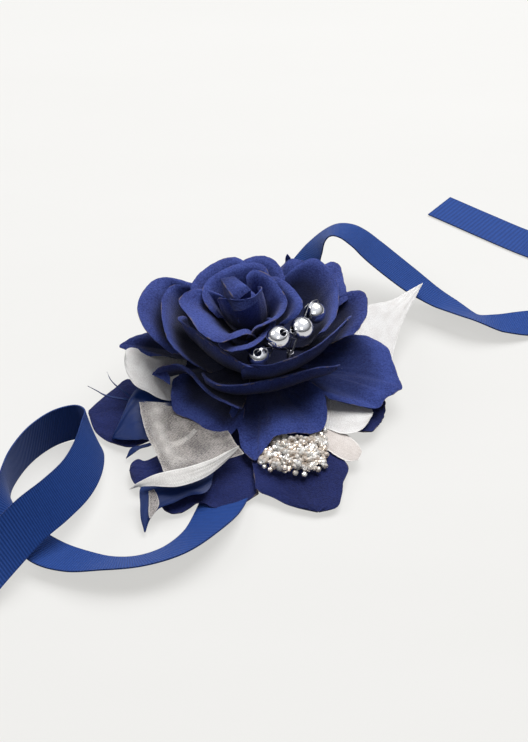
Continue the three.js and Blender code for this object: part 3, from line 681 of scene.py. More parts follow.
# %% Rose petals
DISC_THICKNESS = 2.0
DISC_TOP = STRAP_Z + RIBBON_THICKNESS + CLEARANCE + DISC_THICKNESS
PETAL_THICKNESS = 0.6
VELVET_CLOTH = 0.28
ROSE = Vector((2.5, 8.0, DISC_TOP + CLEARANCE))
LEAN = Vector((-0.12, -0.087, 1.0))
CORE_FOOT = 4.9
CORE_TAPER = 0.115
CURL_FROM = 0.86
CURL_DROP = 0.3


def core_radius(height):
    return CORE_FOOT - CORE_TAPER * height


def in_rose(radius, turn, height):
    return ROSE + Vector((radius * math.cos(turn), radius * math.sin(turn), 0)) + LEAN * height


def petal(lip, seat, waist, flare, rise, curl=0.8, neck=0.8, taper=0.0):
    line = smooth_curve(lip)
    middle = (lip[0][0] + lip[-1][0]) / 2
    core = core_radius(seat) + CLEARANCE

    def surface(x, t):
        angle, reach, top = line((x + 1) / 2)
        angle = middle + (angle - middle) * opening(neck, t)
        turned = max(0, (t - CURL_FROM) / (1 - CURL_FROM)) ** 2 - 1
        out = flare * (1 - taper * max(0, x) ** 2)
        radius = bezier((core, waist, reach - out, reach), t) + curl * turned * t
        height = bezier((seat, seat, top + rise, top), t) - CURL_DROP * curl * turned * t
        return in_rose(radius, math.radians(angle), height)

    return surface


ROSE_PETALS = {
    "bud_petal_inner": dict(seat=24, waist=6.5, flare=-5, rise=-0.5, curl=0, lip=(
        (-60, 3.2, 38.4), (-20, 1.8, 39.4), (40, 0.5, 40.2), (130, 0.4, 40.2), (220, 0.4, 39.8),
        (300, 0.6, 39.2))),
    "bud_petal_front": dict(seat=24, waist=8.6, flare=0, rise=-3, curl=0.5, lip=(
        (186, 10, 36), (198, 10.3, 39), (212, 9.8, 41.2), (232, 8.2, 42), (260, 7.4, 42.2),
        (294, 6.8, 42.8), (318, 6.6, 43.2), (345, 6.2, 42.6), (370, 5.8, 41.6), (395, 5.5, 40))),
    "inner_petal_right": dict(seat=22.8, waist=8, flare=5, rise=-3, lip=(
        (266, 15, 30), (275, 17, 34.5), (281, 17, 36.5), (298, 16, 37), (322, 15.5, 37), (347, 14.5, 37.5),
        (379, 12.5, 39), (413, 12.5, 40.5), (436, 11.5, 41), (450, 8.5, 40))),
    "inner_petal_back": dict(seat=21.8, waist=10, flare=5, rise=-2, lip=(
        (50, 12, 37), (58, 15, 39), (72, 17, 40), (93, 16.5, 40), (127, 15, 40), (154, 15.5, 39),
        (174, 15.5, 38), (200, 14, 36), (214, 12.5, 33))),
    "inner_petal_front": dict(seat=20.8, waist=11, flare=12, rise=-0.5, taper=0.9, lip=(
        (160, 13, 36), (166, 17, 38), (172, 20.5, 38), (184, 23.3, 37.5), (210, 22.2, 37),
        (234, 24.6, 36.5), (248, 25, 36), (260, 21.2, 36), (271, 18.6, 35.5), (277, 17, 33),
        (283, 16, 29))),
    "second_petal_front": dict(seat=18.7, waist=13.2, flare=7, rise=-0.5, lip=(
        (232, 17, 28), (244, 22.5, 31.5), (257, 25.5, 33), (265, 25, 33.5), (275, 23, 33.5),
        (292, 18, 33.5), (318, 13.7, 33.5), (330, 10, 31))),
    "second_petal_right": dict(seat=19.6, waist=14, flare=6, rise=-0.5, lip=(
        (336, 14, 29), (346, 18, 32.5), (359, 19.4, 34.5), (381, 18, 35), (406, 18, 35), (421, 18.3, 34),
        (430, 15, 31))),
    "second_petal_back_right": dict(seat=18.7, waist=16, flare=6, rise=-2, lip=(
        (45, 16, 30), (50, 20.5, 33), (59, 23.5, 34), (69, 26, 35.5), (78, 26.5, 36), (88, 25.7, 35.5),
        (97, 24, 34), (103, 20, 31))),
    "second_petal_back_left": dict(seat=17.8, waist=16, flare=6, rise=-2, lip=(
        (87, 20, 33), (91, 23, 35), (98, 25, 36), (108, 25.7, 36), (124, 25, 35), (142, 24, 34),
        (155, 22.6, 33), (163, 19, 30))),
    "third_petal_front_left": dict(seat=13.3, waist=25, flare=0, rise=-4, curl=1.8, neck=1, lip=(
        (172, 24, 26), (185, 25.3, 29), (202, 22, 29.5), (227, 21, 29.5), (251, 23.3, 29), (269, 27.3, 28),
        (280, 27, 25))),
    "third_petal_front_right": dict(seat=14.2, waist=29, flare=-0.5, rise=-4, curl=1.2, neck=1, lip=(
        (262, 24.5, 24.5), (268, 25.8, 27.5), (283, 27.8, 28.5), (300, 28, 29), (318, 29, 29.5),
        (339, 31, 29.5), (355, 34.3, 29), (362, 36, 27.5), (366, 34, 24))),
    "third_petal_right": dict(seat=15.1, waist=25, flare=5.5, rise=-4, neck=1, lip=(
        (-15, 26.5, 26), (0, 30.3, 28), (16, 33, 29), (29, 36, 30), (42, 38.3, 31), (52, 37.8, 32),
        (58, 33, 30), (63, 25.5, 28))),
    "third_petal_back": dict(seat=16, waist=22, flare=7, rise=-2, lip=(
        (50, 35, 24), (56, 37, 29), (60, 35.8, 30.3), (65, 34.5, 30.3), (69, 33.6, 27.5), (75, 33, 24),
        (95, 32, 22), (115, 31, 22), (135, 27, 20))),
    "third_petal_left": dict(seat=12.4, waist=28, flare=8, rise=-4, neck=1, lip=(
        (134, 24, 27), (138, 27.5, 29), (142, 31, 30), (149, 37, 31), (161, 39, 31), (177, 39.3, 30),
        (186, 38, 28), (195, 35, 25), (204, 30, 20))),
    "third_petal_left_front": dict(seat=13, waist=26, flare=3, rise=-4, neck=1, lip=(
        (145, 24.7, 31), (152, 30, 32), (165, 31, 32), (180, 30.5, 31.5), (193, 30.4, 30.5), (208, 31, 28),
        (219, 29.4, 25), (228, 27, 21))),
    "fourth_petal_front": dict(seat=8.6, waist=31, flare=-0.5, rise=-4, curl=2, neck=1, lip=(
        (226, 26, 17), (234, 29, 20), (247, 31, 20.5), (260, 29.5, 20.5), (277, 27.7, 21), (298, 27.6, 21),
        (318, 30.5, 21), (328, 34, 20), (336, 34, 17))),
    "fourth_petal_front_left": dict(seat=9.2, waist=31, flare=-0.5, rise=-3, curl=2, neck=1, lip=(
        (200, 38.5, 10), (202, 37.5, 14), (204, 35.3, 16.5), (209, 31, 18), (220, 29.2, 17.5),
        (238, 31.6, 16), (251, 33.3, 15), (262, 34.5, 13.5))),
    "fourth_petal_right": dict(seat=9.5, waist=28, flare=8, rise=-2, lip=(
        (2, 36, 18), (10, 40.5, 20), (19, 44, 21), (28, 46, 22), (32, 42.5, 22), (34, 38.5, 21))),
    "fourth_petal_back_right": dict(seat=10.4, waist=30, flare=10, rise=-3, lip=(
        (27, 39.5, 21), (40, 44, 22), (49, 49, 23), (53, 49, 23), (56, 44.5, 22))),
    "fourth_petal_back_left": dict(seat=9.5, waist=26, flare=7, rise=-1, lip=(
        (90, 30, 14), (105, 34, 15), (120, 35, 15), (135, 34, 14), (145, 30, 13))),
    "fourth_petal_left": dict(seat=8.6, waist=28, flare=8, rise=1, neck=1.6, lip=(
        (166, 35, 14.5), (173, 40.5, 15.5), (178, 44.5, 16), (181.5, 48, 15), (184, 45.5, 14.5),
        (189, 37, 13.5))),
    "guard_petal_front": dict(seat=6, waist=24, flare=9, rise=2.5, lip=(
        (250, 29.5, 7), (259, 36.2, 5), (263, 44, 3), (269, 47.8, 2), (273, 44.3, 4), (279, 40.7, 6.5),
        (289, 40.3, 6), (298, 41.5, 4.5), (305, 40.4, 4.5), (312, 36.8, 6), (323, 29, 9))),
    "guard_petal_front_left": dict(seat=6, waist=24, flare=5, rise=3, lip=(
        (203, 32, 9), (209, 34.3, 8), (218, 37.7, 7), (224, 39.8, 6), (234, 38.3, 5.5), (244, 39.6, 5),
        (252, 40.8, 4), (256, 38.3, 4), (262, 30, 6))),
    "guard_petal_left": dict(seat=6, waist=18, flare=6, rise=3, lip=(
        (140, 29, 6), (150, 33, 6), (162, 35, 5), (174, 34.5, 5), (186, 33, 5), (198, 30, 6))),
    "guard_petal_back": dict(seat=6, waist=20, flare=8, rise=3, lip=(
        (45, 36, 7), (60, 42, 7), (85, 44, 6), (110, 42, 7), (125, 36, 7))),
    "guard_petal_right": dict(seat=6, waist=22, flare=10, rise=4, lip=(
        (-41, 33.2, 7), (-35, 40.6, 5.5), (-28, 48.3, 3.5), (-22, 48.7, 4), (-18, 50.6, 4), (-13, 52.6, 4),
        (-8, 51, 5), (0, 49, 7), (7, 47.5, 8), (14, 42.5, 9), (18, 37.8, 9))),
}
TURNED_LIPS = {
    "bud_petal_front": (between((
        (-8.8, -1.4, 47.4), (-6.4, -1.8, 47.3), (-3.4, -2.6, 47.3), (-0.7, -2.6, 47.6), (1.5, -1.3, 48),
        (3.2, 2, 48.2)), (
        (-6.2, -5.1, 44), (-4.7, -5.1, 44), (-3, -4.8, 44.2), (-0.3, -3.5, 44.8), (1.8, -1.6, 45.6),
        (3.4, 1.8, 47.5))),),
    "third_petal_back": (between(((11.9, 36.5, 33.5), (12, 36.5, 36.2), (12.5, 36.5, 37.6)), (
        (14.6, 36.5, 33.5), (13.7, 36.5, 36.2), (12.8, 36.5, 37.6))),),
    "fourth_petal_front_left": (between((
        (-35.2, -6.1, 16.5), (-33, -7.7, 16.5), (-30.4, -9.9, 16.5), (-28.6, -11.2, 16)), (
        (-34.6, -5.9, 17.5), (-32.3, -5.1, 18), (-30.2, -5.9, 18), (-28.7, -8.6, 17.5))),),
}
RUFFLED = ("guard_petal_front", "guard_petal_right")
PETAL_ROUND = 0.12
for node, form in ROSE_PETALS.items():
    finish, ruffle = (GUARD_VELVET, 0.9) if node in RUFFLED else (VELVET, 0.3)
    cloth_piece(node, petal(**form), PETAL_ROUND, finish, "velvet", VELVET_CLOTH, columns=60, rows=44,
                crease=ruffle, strips=TURNED_LIPS.get(node, ()))
ROLL_LEFT = ((-10.8, 7.1, 48.6), (-8.9, 2.9, 48.2), (-6.8, -1, 47.6), (-5.4, -2, 46))
ROLL_RIGHT = ((-6.1, 7.7, 49.2), (-3.9, 5.1, 49), (-2, 3.4, 48.6), (-0.3, 2.9, 47))
ROLL_DEPTH = 10.0
ROLL_IN = 0.8
roll_walls = []
for edge in (ROLL_LEFT, ROLL_RIGHT):
    foot = [(ROLL_IN * x, ROLL_IN * y, z - ROLL_DEPTH) for x, y, z in edge]
    roll_walls.append(between(edge, foot))
cloth_piece("bud_petal_left", between(ROLL_LEFT, ROLL_RIGHT, bow=0.5), 0, VELVET, "velvet", VELVET_CLOTH,
            crease=0.1, strips=roll_walls)
print("rose petals:", len(ROSE_PETALS) + 1)

# %% [markdown]
# The petals that lie out over the table are drawn from two edges, each a smooth curve through a few
# points in millimetres. Those that the rose hides are plain blades, swept along a curve of four points
# and rounded at the end.

# %% Base petals
VELVET_Z = DISC_TOP + CLEARANCE + PETAL_THICKNESS / 2
BASE_CLOTH = 0.45
BLADE_ROUND = 0.7
BLADE_STEP = 0.002
UP = Vector((0, 0, 1))


def blade(spine, width, neck=0.25):
    xs, ys, zs = zip(*spine)

    def middle(t):
        return Vector((bezier(xs, t), bezier(ys, t), VELVET_Z + bezier(zs, t)))

    def surface(x, t):
        ahead = middle(t + BLADE_STEP) - middle(t - BLADE_STEP)
        side = ahead.cross(UP).normalized()
        return middle(t) + side * width * opening(neck, t) * x - UP * (x * x * math.sin(math.pi * t))

    return surface


BASE_PETALS = {
    "base_petal_front": between(bow=0.8, one=(
        (1, -12.5, 5.3), (-0.5, -28.5, 5.6), (0, -38, 5.4), (1, -46.5, 4.6), (2, -51.5, 3.8), (7, -54, 3),
        (13, -57.5, 2.4), (22, -60, 2)), two=(
        (10, -12.5, 5.3), (24.5, -28.5, 5.6), (30.5, -35.5, 4.6), (33, -40.5, 3.8), (31, -47, 3.2),
        (30.5, -52, 2.6), (28.5, -58, 2.2), (22.5, -60, 2))),
    "base_petal_front_left": between(bow=1.0, one=(
        (-30, -58, 2.5), (-28, -60, 2), (-25, -60.5, 1.6), (-21.5, -59, 2), (-17.5, -56, 2.6),
        (-13, -58, 2.2), (-9.5, -59.5, 2), (-5, -58, 2.2), (2.4, -51, 1.8)), two=(
        (-12, -11, 5.3), (-11, -11.8, 5.3), (-10, -12.4, 5.3), (-9, -13, 5.3), (-7.5, -13.6, 5.3),
        (-6, -14.2, 5.3), (-4.5, -14.6, 5.3), (-3, -15, 5.3), (-1.5, -15, 5.3))),
    "base_petal_left_front": between(bow=0.6, one=(
        (-9, -11, 6), (-16, -44, 6), (-26, -49.5, 5), (-34, -50, 4), (-38.5, -49, 3.4), (-40.5, -45.5, 3),
        (-41.5, -41, 3.1)), two=(
        (-12, -8, 6), (-21.5, -28.5, 6), (-30, -34.5, 5.5), (-36.5, -38, 4.5), (-39, -36.5, 4),
        (-41, -38, 3.6), (-41.5, -41, 3.2))),
    "base_petal_left": between(bow=0.8, one=(
        (-13, -7, 5.3), (-25, -27.5, 5), (-35.5, -27.5, 4.5), (-41, -29, 3), (-48.5, -26, 2),
        (-54.5, -20.5, 1.7), (-58, -10.5, 2.4)), two=(
        (-13, 2, 5.3), (-29.5, -2, 5), (-40.5, 1.5, 5), (-45, 5.5, 4.5), (-50, 0.5, 3.8), (-55.5, -6, 3),
        (-58, -9.5, 2.5))),
}
HIDDEN_PETALS = {
    "base_petal_back_left": blade(width=15, spine=((-9, 11, 0), (-17, 21, 0.6), (-25, 32, 0), (-30, 42, -2))),
    "base_petal_back_right": blade(width=15, spine=((11, 13.5, 0), (19, 21, 0.6), (27, 31, 0), (32, 41, -2))),
    "base_petal_right": blade(width=14, spine=((13, -4, 0), (24, -7, 0.6), (36, -10, 0.4), (47, -12, -1.5))),
}
for petals, round_off in ((BASE_PETALS, 0.0), (HIDDEN_PETALS, BLADE_ROUND)):
    for node, surface in petals.items():
        cloth_piece(node, surface, round_off, BASE_VELVET, "base_velvet", BASE_CLOTH)
print("base petals:", len(BASE_PETALS) + len(HIDDEN_PETALS))

# %% [markdown]
# The satin leaves are narrow and pointed. Two thin ribs and a short spike stand out from under the
# upper one. The organza leaves are broad, thin and see-through. The large one at the front left is
# three pieces: the leaf, a second layer over its left half and its near edge, folded up into a band.
# A scrap of it hangs over the lower satin leaf.

# %% Satin and organza leaves
SATIN_CLOTH = 0.3
ORGANZA_CLOTH = 0.12


def rib(width, *line):
    """A thin strip that runs out from its root to a point."""
    root = [Vector(p) for p in line]
    last = len(root) - 1
    return between(root, [p + Vector((0.1, -0.05 - width * (1 - k / last), 0)) for k, p in enumerate(root)])


SATIN_LEAVES = {
    "satin_leaf_upper": (dict(bow=0.4, ridge=(0.7, 0.35, 1.6), one=(
        (-14, -13, 6.5), (-28.5, -28, 7), (-33.5, -29.5, 6.5), (-37.5, -28.5, 6), (-41, -28, 5.5),
        (-45, -27, 4.5), (-48.5, -25.2, 3.4)), two=(
        (-15, -9, 6.5), (-32.5, -8.5, 8), (-37.5, -6, 9), (-40, -6, 9.5), (-42.5, -10, 9),
        (-45.5, -18, 6.5), (-48.5, -24.8, 3.5))), (
        rib(0.9, (-43, -7.5, 8), (-48, -3.5, 9), (-50.5, -0.5, 9.5), (-52, 3, 10)),
        rib(0.9, (-43.5, -9.5, 8), (-52, -8, 8.8), (-55, -6, 9), (-58.5, -3.5, 9)),
        between((
            (-33.5, -27.5, 5.8), (-34.6, -29.2, 5.5), (-38.6, -30, 4.6), (-41.8, -30, 3.2),
            (-43.2, -32.7, 1.6)), (
            (-33.5, -29.5, 5.6), (-35.2, -30.9, 5.2), (-38.6, -31.3, 4.2), (-41.2, -32.4, 2.8),
            (-43.4, -33.2, 1.5))))),
    "satin_leaf_lower": (dict(bow=0.8, one=(
        (-6, -22, 6.6), (-12, -42.5, 7), (-15, -54.5, 6), (-20.5, -56, 5.8), (-26, -59, 5.2),
        (-30.5, -61, 4.6), (-33.5, -64.5, 3.2), (-35, -69, 1.5)), two=(
        (-12, -24, 6.8), (-21, -40, 7.2), (-27.5, -47.5, 7.2), (-32.5, -51.5, 7.2), (-37, -53, 6.4),
        (-37, -58.5, 4.6), (-36.5, -64.5, 3), (-35.2, -69, 1.6))), ()),
}
for node, (form, ribs) in SATIN_LEAVES.items():
    cloth_piece(node, between(**form), 0, SATIN, "satin", SATIN_CLOTH, columns=30, rows=56, crease=0.15,
                strips=ribs)
ORGANZA_LEAVES = {
    "organza_leaf_left": (WHITE, dict(bow=1.0, ridge=(0.35, 0.3, 1.2), one=(
        (-15, -2, 7), (-28.5, -11.5, 9), (-32.5, -12.5, 11), (-37, -12, 13.8), (-40.5, -11.5, 15.7),
        (-43.5, -8, 17.8), (-45, -3, 19)), two=(
        (-15, 8, 8), (-30, 8, 15), (-33.5, 6, 17.2), (-38, 4, 19), (-42.5, 4, 20.5), (-44.5, 3, 20.5),
        (-45, 0, 19.6)))),
    "organza_leaf_right": (SHEER, dict(bow=0.6, one=(
        (14, 2, 5.5), (48, 5.5, 5), (51.5, 18.5, 6.5), (56, 33, 10), (60, 41.5, 12), (64, 50, 14)), two=(
        (14, 10, 5.5), (34.5, 35.5, 9), (43, 41, 10.5), (52, 42.5, 12), (57.5, 46, 13), (64, 50.5, 14)))),
    "organza_leaf_right_front": (SHEER, dict(bow=0.4, one=(
        (14, -12, 6), (27, -24.5, 7), (32, -26.5, 6.9), (38, -24.5, 6.9), (42, -17.5, 7.1)), two=(
        (16, -6, 6), (29.5, -5.5, 7.6), (36.5, -8.5, 7.6), (41, -11.5, 7.4), (42.5, -15.5, 7.2)))),
    "organza_leaf_low_right": (BLUSH, dict(bow=0.4, one=(
        (10, -15, 6), (24, -31.5, 6.4), (28.5, -36, 5.6), (33, -38, 4.6), (36.5, -37, 4.2)), two=(
        (13, -13, 6), (27, -22.5, 6.6), (32.5, -25.5, 6), (36.5, -29.5, 5), (38, -33, 4.4)))),
}
for node, (finish, form) in ORGANZA_LEAVES.items():
    cloth_piece(node, between(**form), 0, finish, "organza", ORGANZA_CLOTH, crease=0.15)
LAYER_LIFT = 0.4
FOLD_EDGE = (
    (-39.5, -14.5, 11), (-38.2, -22.4, 11), (-35.4, -33.2, 11), (-31.8, -42.3, 11), (-28.3, -52, 9.6))
fold_leaf = between(FOLD_EDGE, (
    (-13, -17.5, 9), (-9.5, -25.5, 9.5), (-7, -31.5, 10.3), (-5.5, -35.5, 10.6), (-2.5, -40, 10)))
fold_layer = between([(x, y, z + LAYER_LIFT) for x, y, z in FOLD_EDGE], (
    (-28, -16, 11.8), (-27.5, -24.5, 12.2), (-28, -31, 12.2), (-25, -38, 11.8), (-15.5, -44.5, 11)))
fold_band = between(bow=0.3, one=(
    (-40.5, -55.7, 8), (-38, -54.8, 8.5), (-33, -55.4, 9.5), (-25, -56.2, 10), (-17.3, -53, 10),
    (-12.6, -48.9, 10), (-8, -43.2, 10.3), (-4.3, -38.3, 11.2)), two=(
    (-40.7, -55.3, 8), (-39.2, -54.5, 9), (-33, -51.8, 11), (-28.5, -50.7, 11.8), (-21.6, -49, 12.2),
    (-13.3, -45, 12.2), (-8, -40.8, 12), (-4.3, -37.9, 11.7)))
scrap = between(((-34.2, -55.5, 7.4), (-34, -60.2, 6), (-34, -63, 5.2), (-33.6, -65.6, 4.6)), (
    (-32.5, -54.9, 7.6), (-31.2, -57.5, 7), (-30.6, -60.7, 6.2), (-33, -65.6, 4.6)))
# The front left leaf and its layer wear the greyed organza finishes, which carry painted shade.
cloth_piece("organza_leaf_front_left", fold_leaf, 0, THIN_SHADED, "organza", ORGANZA_CLOTH, crease=0.2,
            strips=(scrap,))
for part, sheet, finish in (("layer", fold_layer, SHADED_ORGANZA), ("band", fold_band, BAND)):
    cloth_piece("organza_" + part + "_front_left", sheet, 0, finish, "organza", ORGANZA_CLOTH, columns=30,
                rows=60, crease=0.1)
print("leaves:", len(SATIN_LEAVES), "satin,", len(ORGANZA_LEAVES) + 1, "organza")

# %% [markdown]
# The crystal beads are strung in short strands that lie close together on the front petal, each a
# heap of five rows. Each stone is a small ball with flat faces, so that one face flashes and the next
# stays dark. A seeded noise scatters, turns and sizes them. The strands follow the petal, whose height
# is found by searching its surface.

# %% Crystal strands
STRANDS = 4
STONES = 14
STONE = 2.0
STRAND_PITCH = 3.8
STONE_ROWS = ((-1.6, 0.0), (0.2, 0.5), (1.8, 0.0), (-0.8, 1.8), (1.0, 1.9))
STRAND_X = 14.0
STRAND_HALF = 11.6
STRAND_Y = -44.4
STRAND_SHIFT = 0.8
STRAND_BOW = 5.0
STONE_SCATTER = 3.4
STONE_LIFT = 1.1
HEAP = 1.2
STONE_TURN = 6.0
STONE_SEED = 4
front_petal = BASE_PETALS["base_petal_front"]
front_spots = [front_petal(i / 20, j / 60) for i in range(-20, 21) for j in range(61)]


def height_on_petal(x, y):
    return min(front_spots, key=lambda p: math.hypot(p.x - x, p.y - y)).z


noise.seed_set(STONE_SEED)
for n in range(STRANDS):
    work = bmesh.new()
    shift = STRAND_SHIFT * n
    for row, (side, raised) in enumerate(STONE_ROWS):
        for k in range(STONES):
            s = (2 * k + 1 + 0.5 * (row % 3 - 1)) / STONES - 1
            wobble = noise.noise_vector((k * 3.7, n * 5.1, row * 2.3))
            x = STRAND_X + shift + (STRAND_HALF - shift) * s + wobble.x
            y = STRAND_Y + n * STRAND_PITCH + STRAND_BOW * s * s + side + STONE_SCATTER * wobble.y
            z = height_on_petal(x, y) + PETAL_THICKNESS / 2 + STONE_LIFT + abs(wobble.z)
            z += (1 - 0.2 * n) * (HEAP + raised) * (1 - s * s)
            turn = Matrix.Rotation(STONE_TURN * wobble.x, 4, "X")
            turn = turn @ Matrix.Rotation(STONE_TURN * wobble.y, 4, "Y")
            size = STONE / 2 * (1 + 0.3 * wobble.z)
            bmesh.ops.create_icosphere(work, subdivisions=2, radius=size * MM,
                                       matrix=Matrix.Translation(Vector((x, y, z)) * MM) @ turn)
    node = "crystal_strand_" + str(n + 1)
    strand = piece(node + "_stones", mesh_of(node, work), CRYSTAL, "corsage", "crystal", node)
    strand.data.shade_flat()
print("crystal stones:", STRANDS * STONES * len(STONE_ROWS))

# %% [markdown]
# The bead spray stands in the gap between two rings of petals: four wires leave one binding, and
# each is looped through a bored silver bead. A bead is a profile, the arc of the ball and the wall
# of its bore, spun once round the bore. The wire is two threads twisted together, and the binding is
# a coil of single wire. For each bead the list gives its middle, the way of its bore and where on the
# binding its wire leaves. The bore's lip is given as steps along the bore and out from its wall, and
# half of the wire's loop as steps along the bore and down towards the stem.

# %% Bead spray
BEAD_DIAMETER = 8.0
BEAD_BORE = 2.6
WIRE_DIAMETER = 0.5
THREAD_DIAMETER = 0.3
TWIST_REACH = 0.11
TWIST_TURNS = 7
TWIST_STEPS = 60
RING_STEPS = 72
BINDING_LENGTH = 2.6
BINDING_RADIUS = 1.1
COIL_DIAMETER = 0.4
COIL_TURNS = 9
COIL_STEPS = 180
ARC_STEPS = 24
BORE_LIP = ((0.04, 0.12), (0.0, 0.02), (-0.15, 0.0))
BINDING_FOOT = in_rose(17.6, math.radians(-42), 18.6)
LOOP_REACH = BEAD_DIAMETER / 2 + 1.6
LOOP_OUT = BEAD_DIAMETER / 2 + WIRE_DIAMETER / 2 + CLEARANCE
LOOP_HALF = ((0.72 * LOOP_OUT, 0.86 * LOOP_OUT), (LOOP_OUT - 0.1, 0.0), (BEAD_DIAMETER / 4, 0.0))
BEADS = [
    ((21.9, 8.4, 32.8), (0.3, 0.6, 0.74), (0.7, 0.7)),
    ((17.1, -8, 38.8), (-0.9, -0.4, 0.15), (0.7, -0.2)),
    ((9, -14.6, 40.2), (0.45, -0.35, 0.82), (-0.2, -0.7)),
    ((2.4, -15.4, 32.4), (-0.1, -0.5, 0.86), (-0.7, -0.5)),
]


def wire_mesh(name, lines, diameter):
    curve = bpy.data.curves.new(name, "CURVE")
    curve.dimensions = "3D"
    curve.bevel_depth = diameter / 2 * MM
    curve.bevel_resolution = 2
    curve.use_fill_caps = True
    for line in lines:
        spline = curve.splines.new("POLY")
        spline.points.add(len(line) - 1)
        for point, spot in zip(spline.points, line):
            point.co = (*(spot * MM), 1)
    holder = put(name, curve)
    shown = holder.evaluated_get(bpy.context.evaluated_depsgraph_get())
    mesh = bpy.data.meshes.new_from_object(shown)
    bpy.data.objects.remove(holder)
    return mesh


def twisted(path):
    """Two threads wound round a path."""
    lines = []
    for strand in (0, math.pi):
        line = []
        for k in range(TWIST_STEPS + 1):
            share = k / TWIST_STEPS
            ahead = (path(share + STEP) - path(share - STEP)).normalized()
            side = ahead.orthogonal().normalized()
            angle = strand + 2 * math.pi * TWIST_TURNS * share
            out = side * math.cos(angle) + ahead.cross(side) * math.sin(angle)
            line.append(path(share) + out * TWIST_REACH)
        lines.append(line)
    return lines


def bead_mesh(name, middle, bore):
    work = bmesh.new()
    outer, inner = BEAD_DIAMETER / 2, BEAD_BORE / 2
    edge = math.asin((inner + 0.25) / outer)
    spots = []
    for k in range(ARC_STEPS + 1):
        turn = edge + (math.pi - 2 * edge) * k / ARC_STEPS
        spots.append((outer * math.sin(turn), -outer * math.cos(turn)))
    top = spots[-1][1]
    wall = [(inner + out, top + rise) for rise, out in BORE_LIP]
    spots.extend(wall)
    spots.extend((radius, -height) for radius, height in reversed(wall))
    verts = [work.verts.new((radius * MM, 0, height * MM)) for radius, height in spots]
    edges = [work.edges.new(pair) for pair in zip(verts, verts[1:] + verts[:1])]
    bmesh.ops.spin(work, geom=verts + edges, cent=(0, 0, 0), axis=UP, dvec=(0, 0, 0),
                   angle=2 * math.pi, steps=48, use_merge=True, use_duplicate=False)
    bmesh.ops.remove_doubles(work, verts=work.verts, dist=1e-6)
    bmesh.ops.recalc_face_normals(work, faces=work.faces)
    turn = UP.rotation_difference(bore).to_matrix().to_4x4()
    bmesh.ops.transform(work, matrix=Matrix.Translation(middle * MM) @ turn, verts=work.verts)
    return mesh_of(name, work)


for n, (centre, way, leave_way) in enumerate(BEADS):
    label = str(n + 1)
    middle, bore = Vector(centre), Vector(way).normalized()
    ball = bead_mesh("bead", middle, bore)
    piece("bead_" + label + "_ball", ball, SILVER, "bead_" + label, "silver", "silver_bead_" + label)
    leave = BINDING_FOOT + Vector((leave_way[0], leave_way[1], BINDING_LENGTH + CLEARANCE))
    down = (leave - middle).normalized()
    down = (down - bore * down.dot(bore)).normalized()
    twist = middle + down * LOOP_REACH
    rise = leave + Vector((leave_way[0], leave_way[1], 2))
    stem = smooth_curve([leave, rise, twist.lerp(rise, 0.4), twist])
    loop = [twist]
    loop += [middle + bore * along + down * drop for along, drop in LOOP_HALF]
    loop += [middle - bore * along + down * drop for along, drop in reversed(LOOP_HALF)]
    ring = smooth_curve(loop, closed=True)
    lines = twisted(stem)
    lines.append([ring(k / RING_STEPS) for k in range(RING_STEPS + 1)])
    wire = wire_mesh("wire", lines, THREAD_DIAMETER)
    piece("bead_" + label + "_wire", wire, WIRE, "stem_" + label, "wire", "bead_stem_" + label)
coil = []
for k in range(COIL_STEPS + 1):
    turn = 2 * math.pi * COIL_TURNS * k / COIL_STEPS
    height = COIL_DIAMETER / 2 + (BINDING_LENGTH - COIL_DIAMETER) * k / COIL_STEPS
    around = Vector((BINDING_RADIUS * math.cos(turn), BINDING_RADIUS * math.sin(turn), height))
    coil.append(BINDING_FOOT + around)
core = [BINDING_FOOT + UP * 0.1, BINDING_FOOT + UP * (BINDING_LENGTH - 0.1)]
binding = wire_mesh("binding", [coil, core], COIL_DIAMETER)
piece("stem_binding_coil", binding, WIRE, "corsage", "wire", "stem_binding")
print("bead spray:", len(BEADS), "beads")

# %% [markdown]
# The stage: a plain pale floor, one large soft lamp above and behind the flower, and two weak ones at
# its left and in front. Towards the camera, and in mirrors and glass, the floor is pale. For light that
# bounces it is darker, as a real table is under a flower that stands in its own shade, so the
# undersides of the petals stay deep.

# %% Floor and light
FLOOR_HALF = 4
FLOOR_DROP = 0.1
FLOOR_GLOW = 0.69
FLOOR_SHADE = (0.06, 0.06, 0.06, 1)
FLOOR_SEEN = (0.25, 0.25, 0.25, 1)
SKY_LIGHT = 0.03
SKY_TINT = (0.95, 0.97, 1.0, 1)
LAMPS = (
    ("overhead", (0.25, 0.42, 0.97), 0.9, 16),
    ("side", (-0.65, 0.1, 0.6), 0.4, 2.0),
    ("fill", (0, -0.55, 0.45), 0.3, 0.4),
)


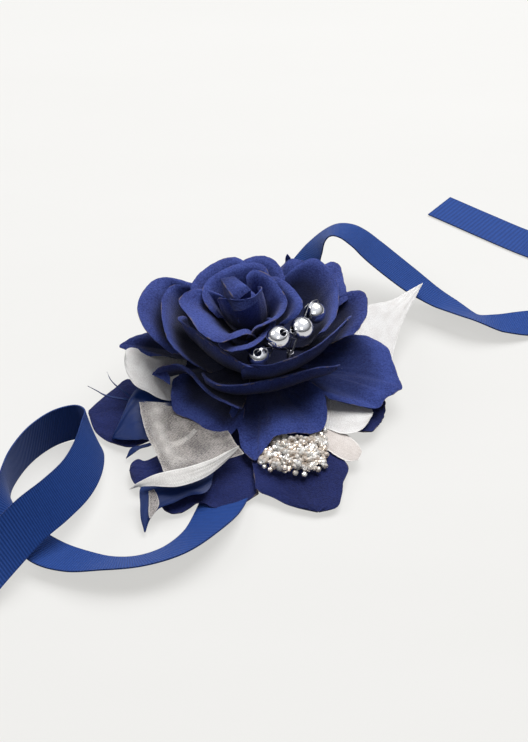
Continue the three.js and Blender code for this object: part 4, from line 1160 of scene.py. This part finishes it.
def floor_finish():
    material, tree = new_finish("floor")
    cloud = noise_on(tree, stretched(tree, place_on(tree), (2.0, 9.0, 1)), 1.6, 4)
    pale = mix_colours(tree, cloud, colour(236, 235, 231), colour(243, 242, 239))
    path = tree.nodes.new("ShaderNodeLightPath")
    seen = maths(tree, "ADD", path.outputs["Is Camera Ray"], path.outputs["Is Glossy Ray"])
    seen = maths(tree, "ADD", seen, path.outputs["Is Transmission Ray"], True)
    strength = maths(tree, "MULTIPLY", seen, FLOOR_GLOW)
    glow = add(tree, "Emission", 0, {"Color": pale, "Strength": strength})
    both = add(tree, "AddShader", 0, {0: tree.nodes["Principled BSDF"].outputs[0], 1: glow})
    tree.links.new(both, tree.nodes["Material Output"].inputs["Surface"])
    return finished(material, {
        "Base Color": mix_colours(tree, seen, FLOOR_SHADE, FLOOR_SEEN), "Roughness": 0.9,
        "Specular IOR Level": 0.0})


work = bmesh.new()
bmesh.ops.create_grid(work, x_segments=1, y_segments=1, size=FLOOR_HALF)
bmesh.ops.translate(work, verts=work.verts, vec=(0, 0, -FLOOR_DROP * MM))
floor_mesh = mesh_of("floor", work)
floor_mesh.materials.append(floor_finish())
floor = put("floor", floor_mesh)

world = bpy.data.worlds.new("studio")
world.use_nodes = True
bpy.context.scene.world = world
sky = world.node_tree
up = axis_of(sky, place_on(sky, "Generated"), "Z")
path = sky.nodes.new("ShaderNodeLightPath")
mirrored = maths(sky, "ADD", path.outputs["Is Glossy Ray"], path.outputs["Is Transmission Ray"], True)
bright = maths(sky, "MULTIPLY", mirrored, soft_step(sky, up, 0.0, 0.8, 0.05, 1.0))
sky.nodes["Background"].inputs["Color"].default_value = SKY_TINT
sky.links.new(maths(sky, "ADD", bright, SKY_LIGHT), sky.nodes["Background"].inputs["Strength"])
for name, spot, size, watts in LAMPS:
    lamp = bpy.data.lights.new(name, "AREA")
    lamp.shape = "SQUARE"
    lamp.size = size
    lamp.energy = watts
    put_aimed(name, lamp, Vector(spot), Vector((0, 0, 0)))
print("floor and light ready")
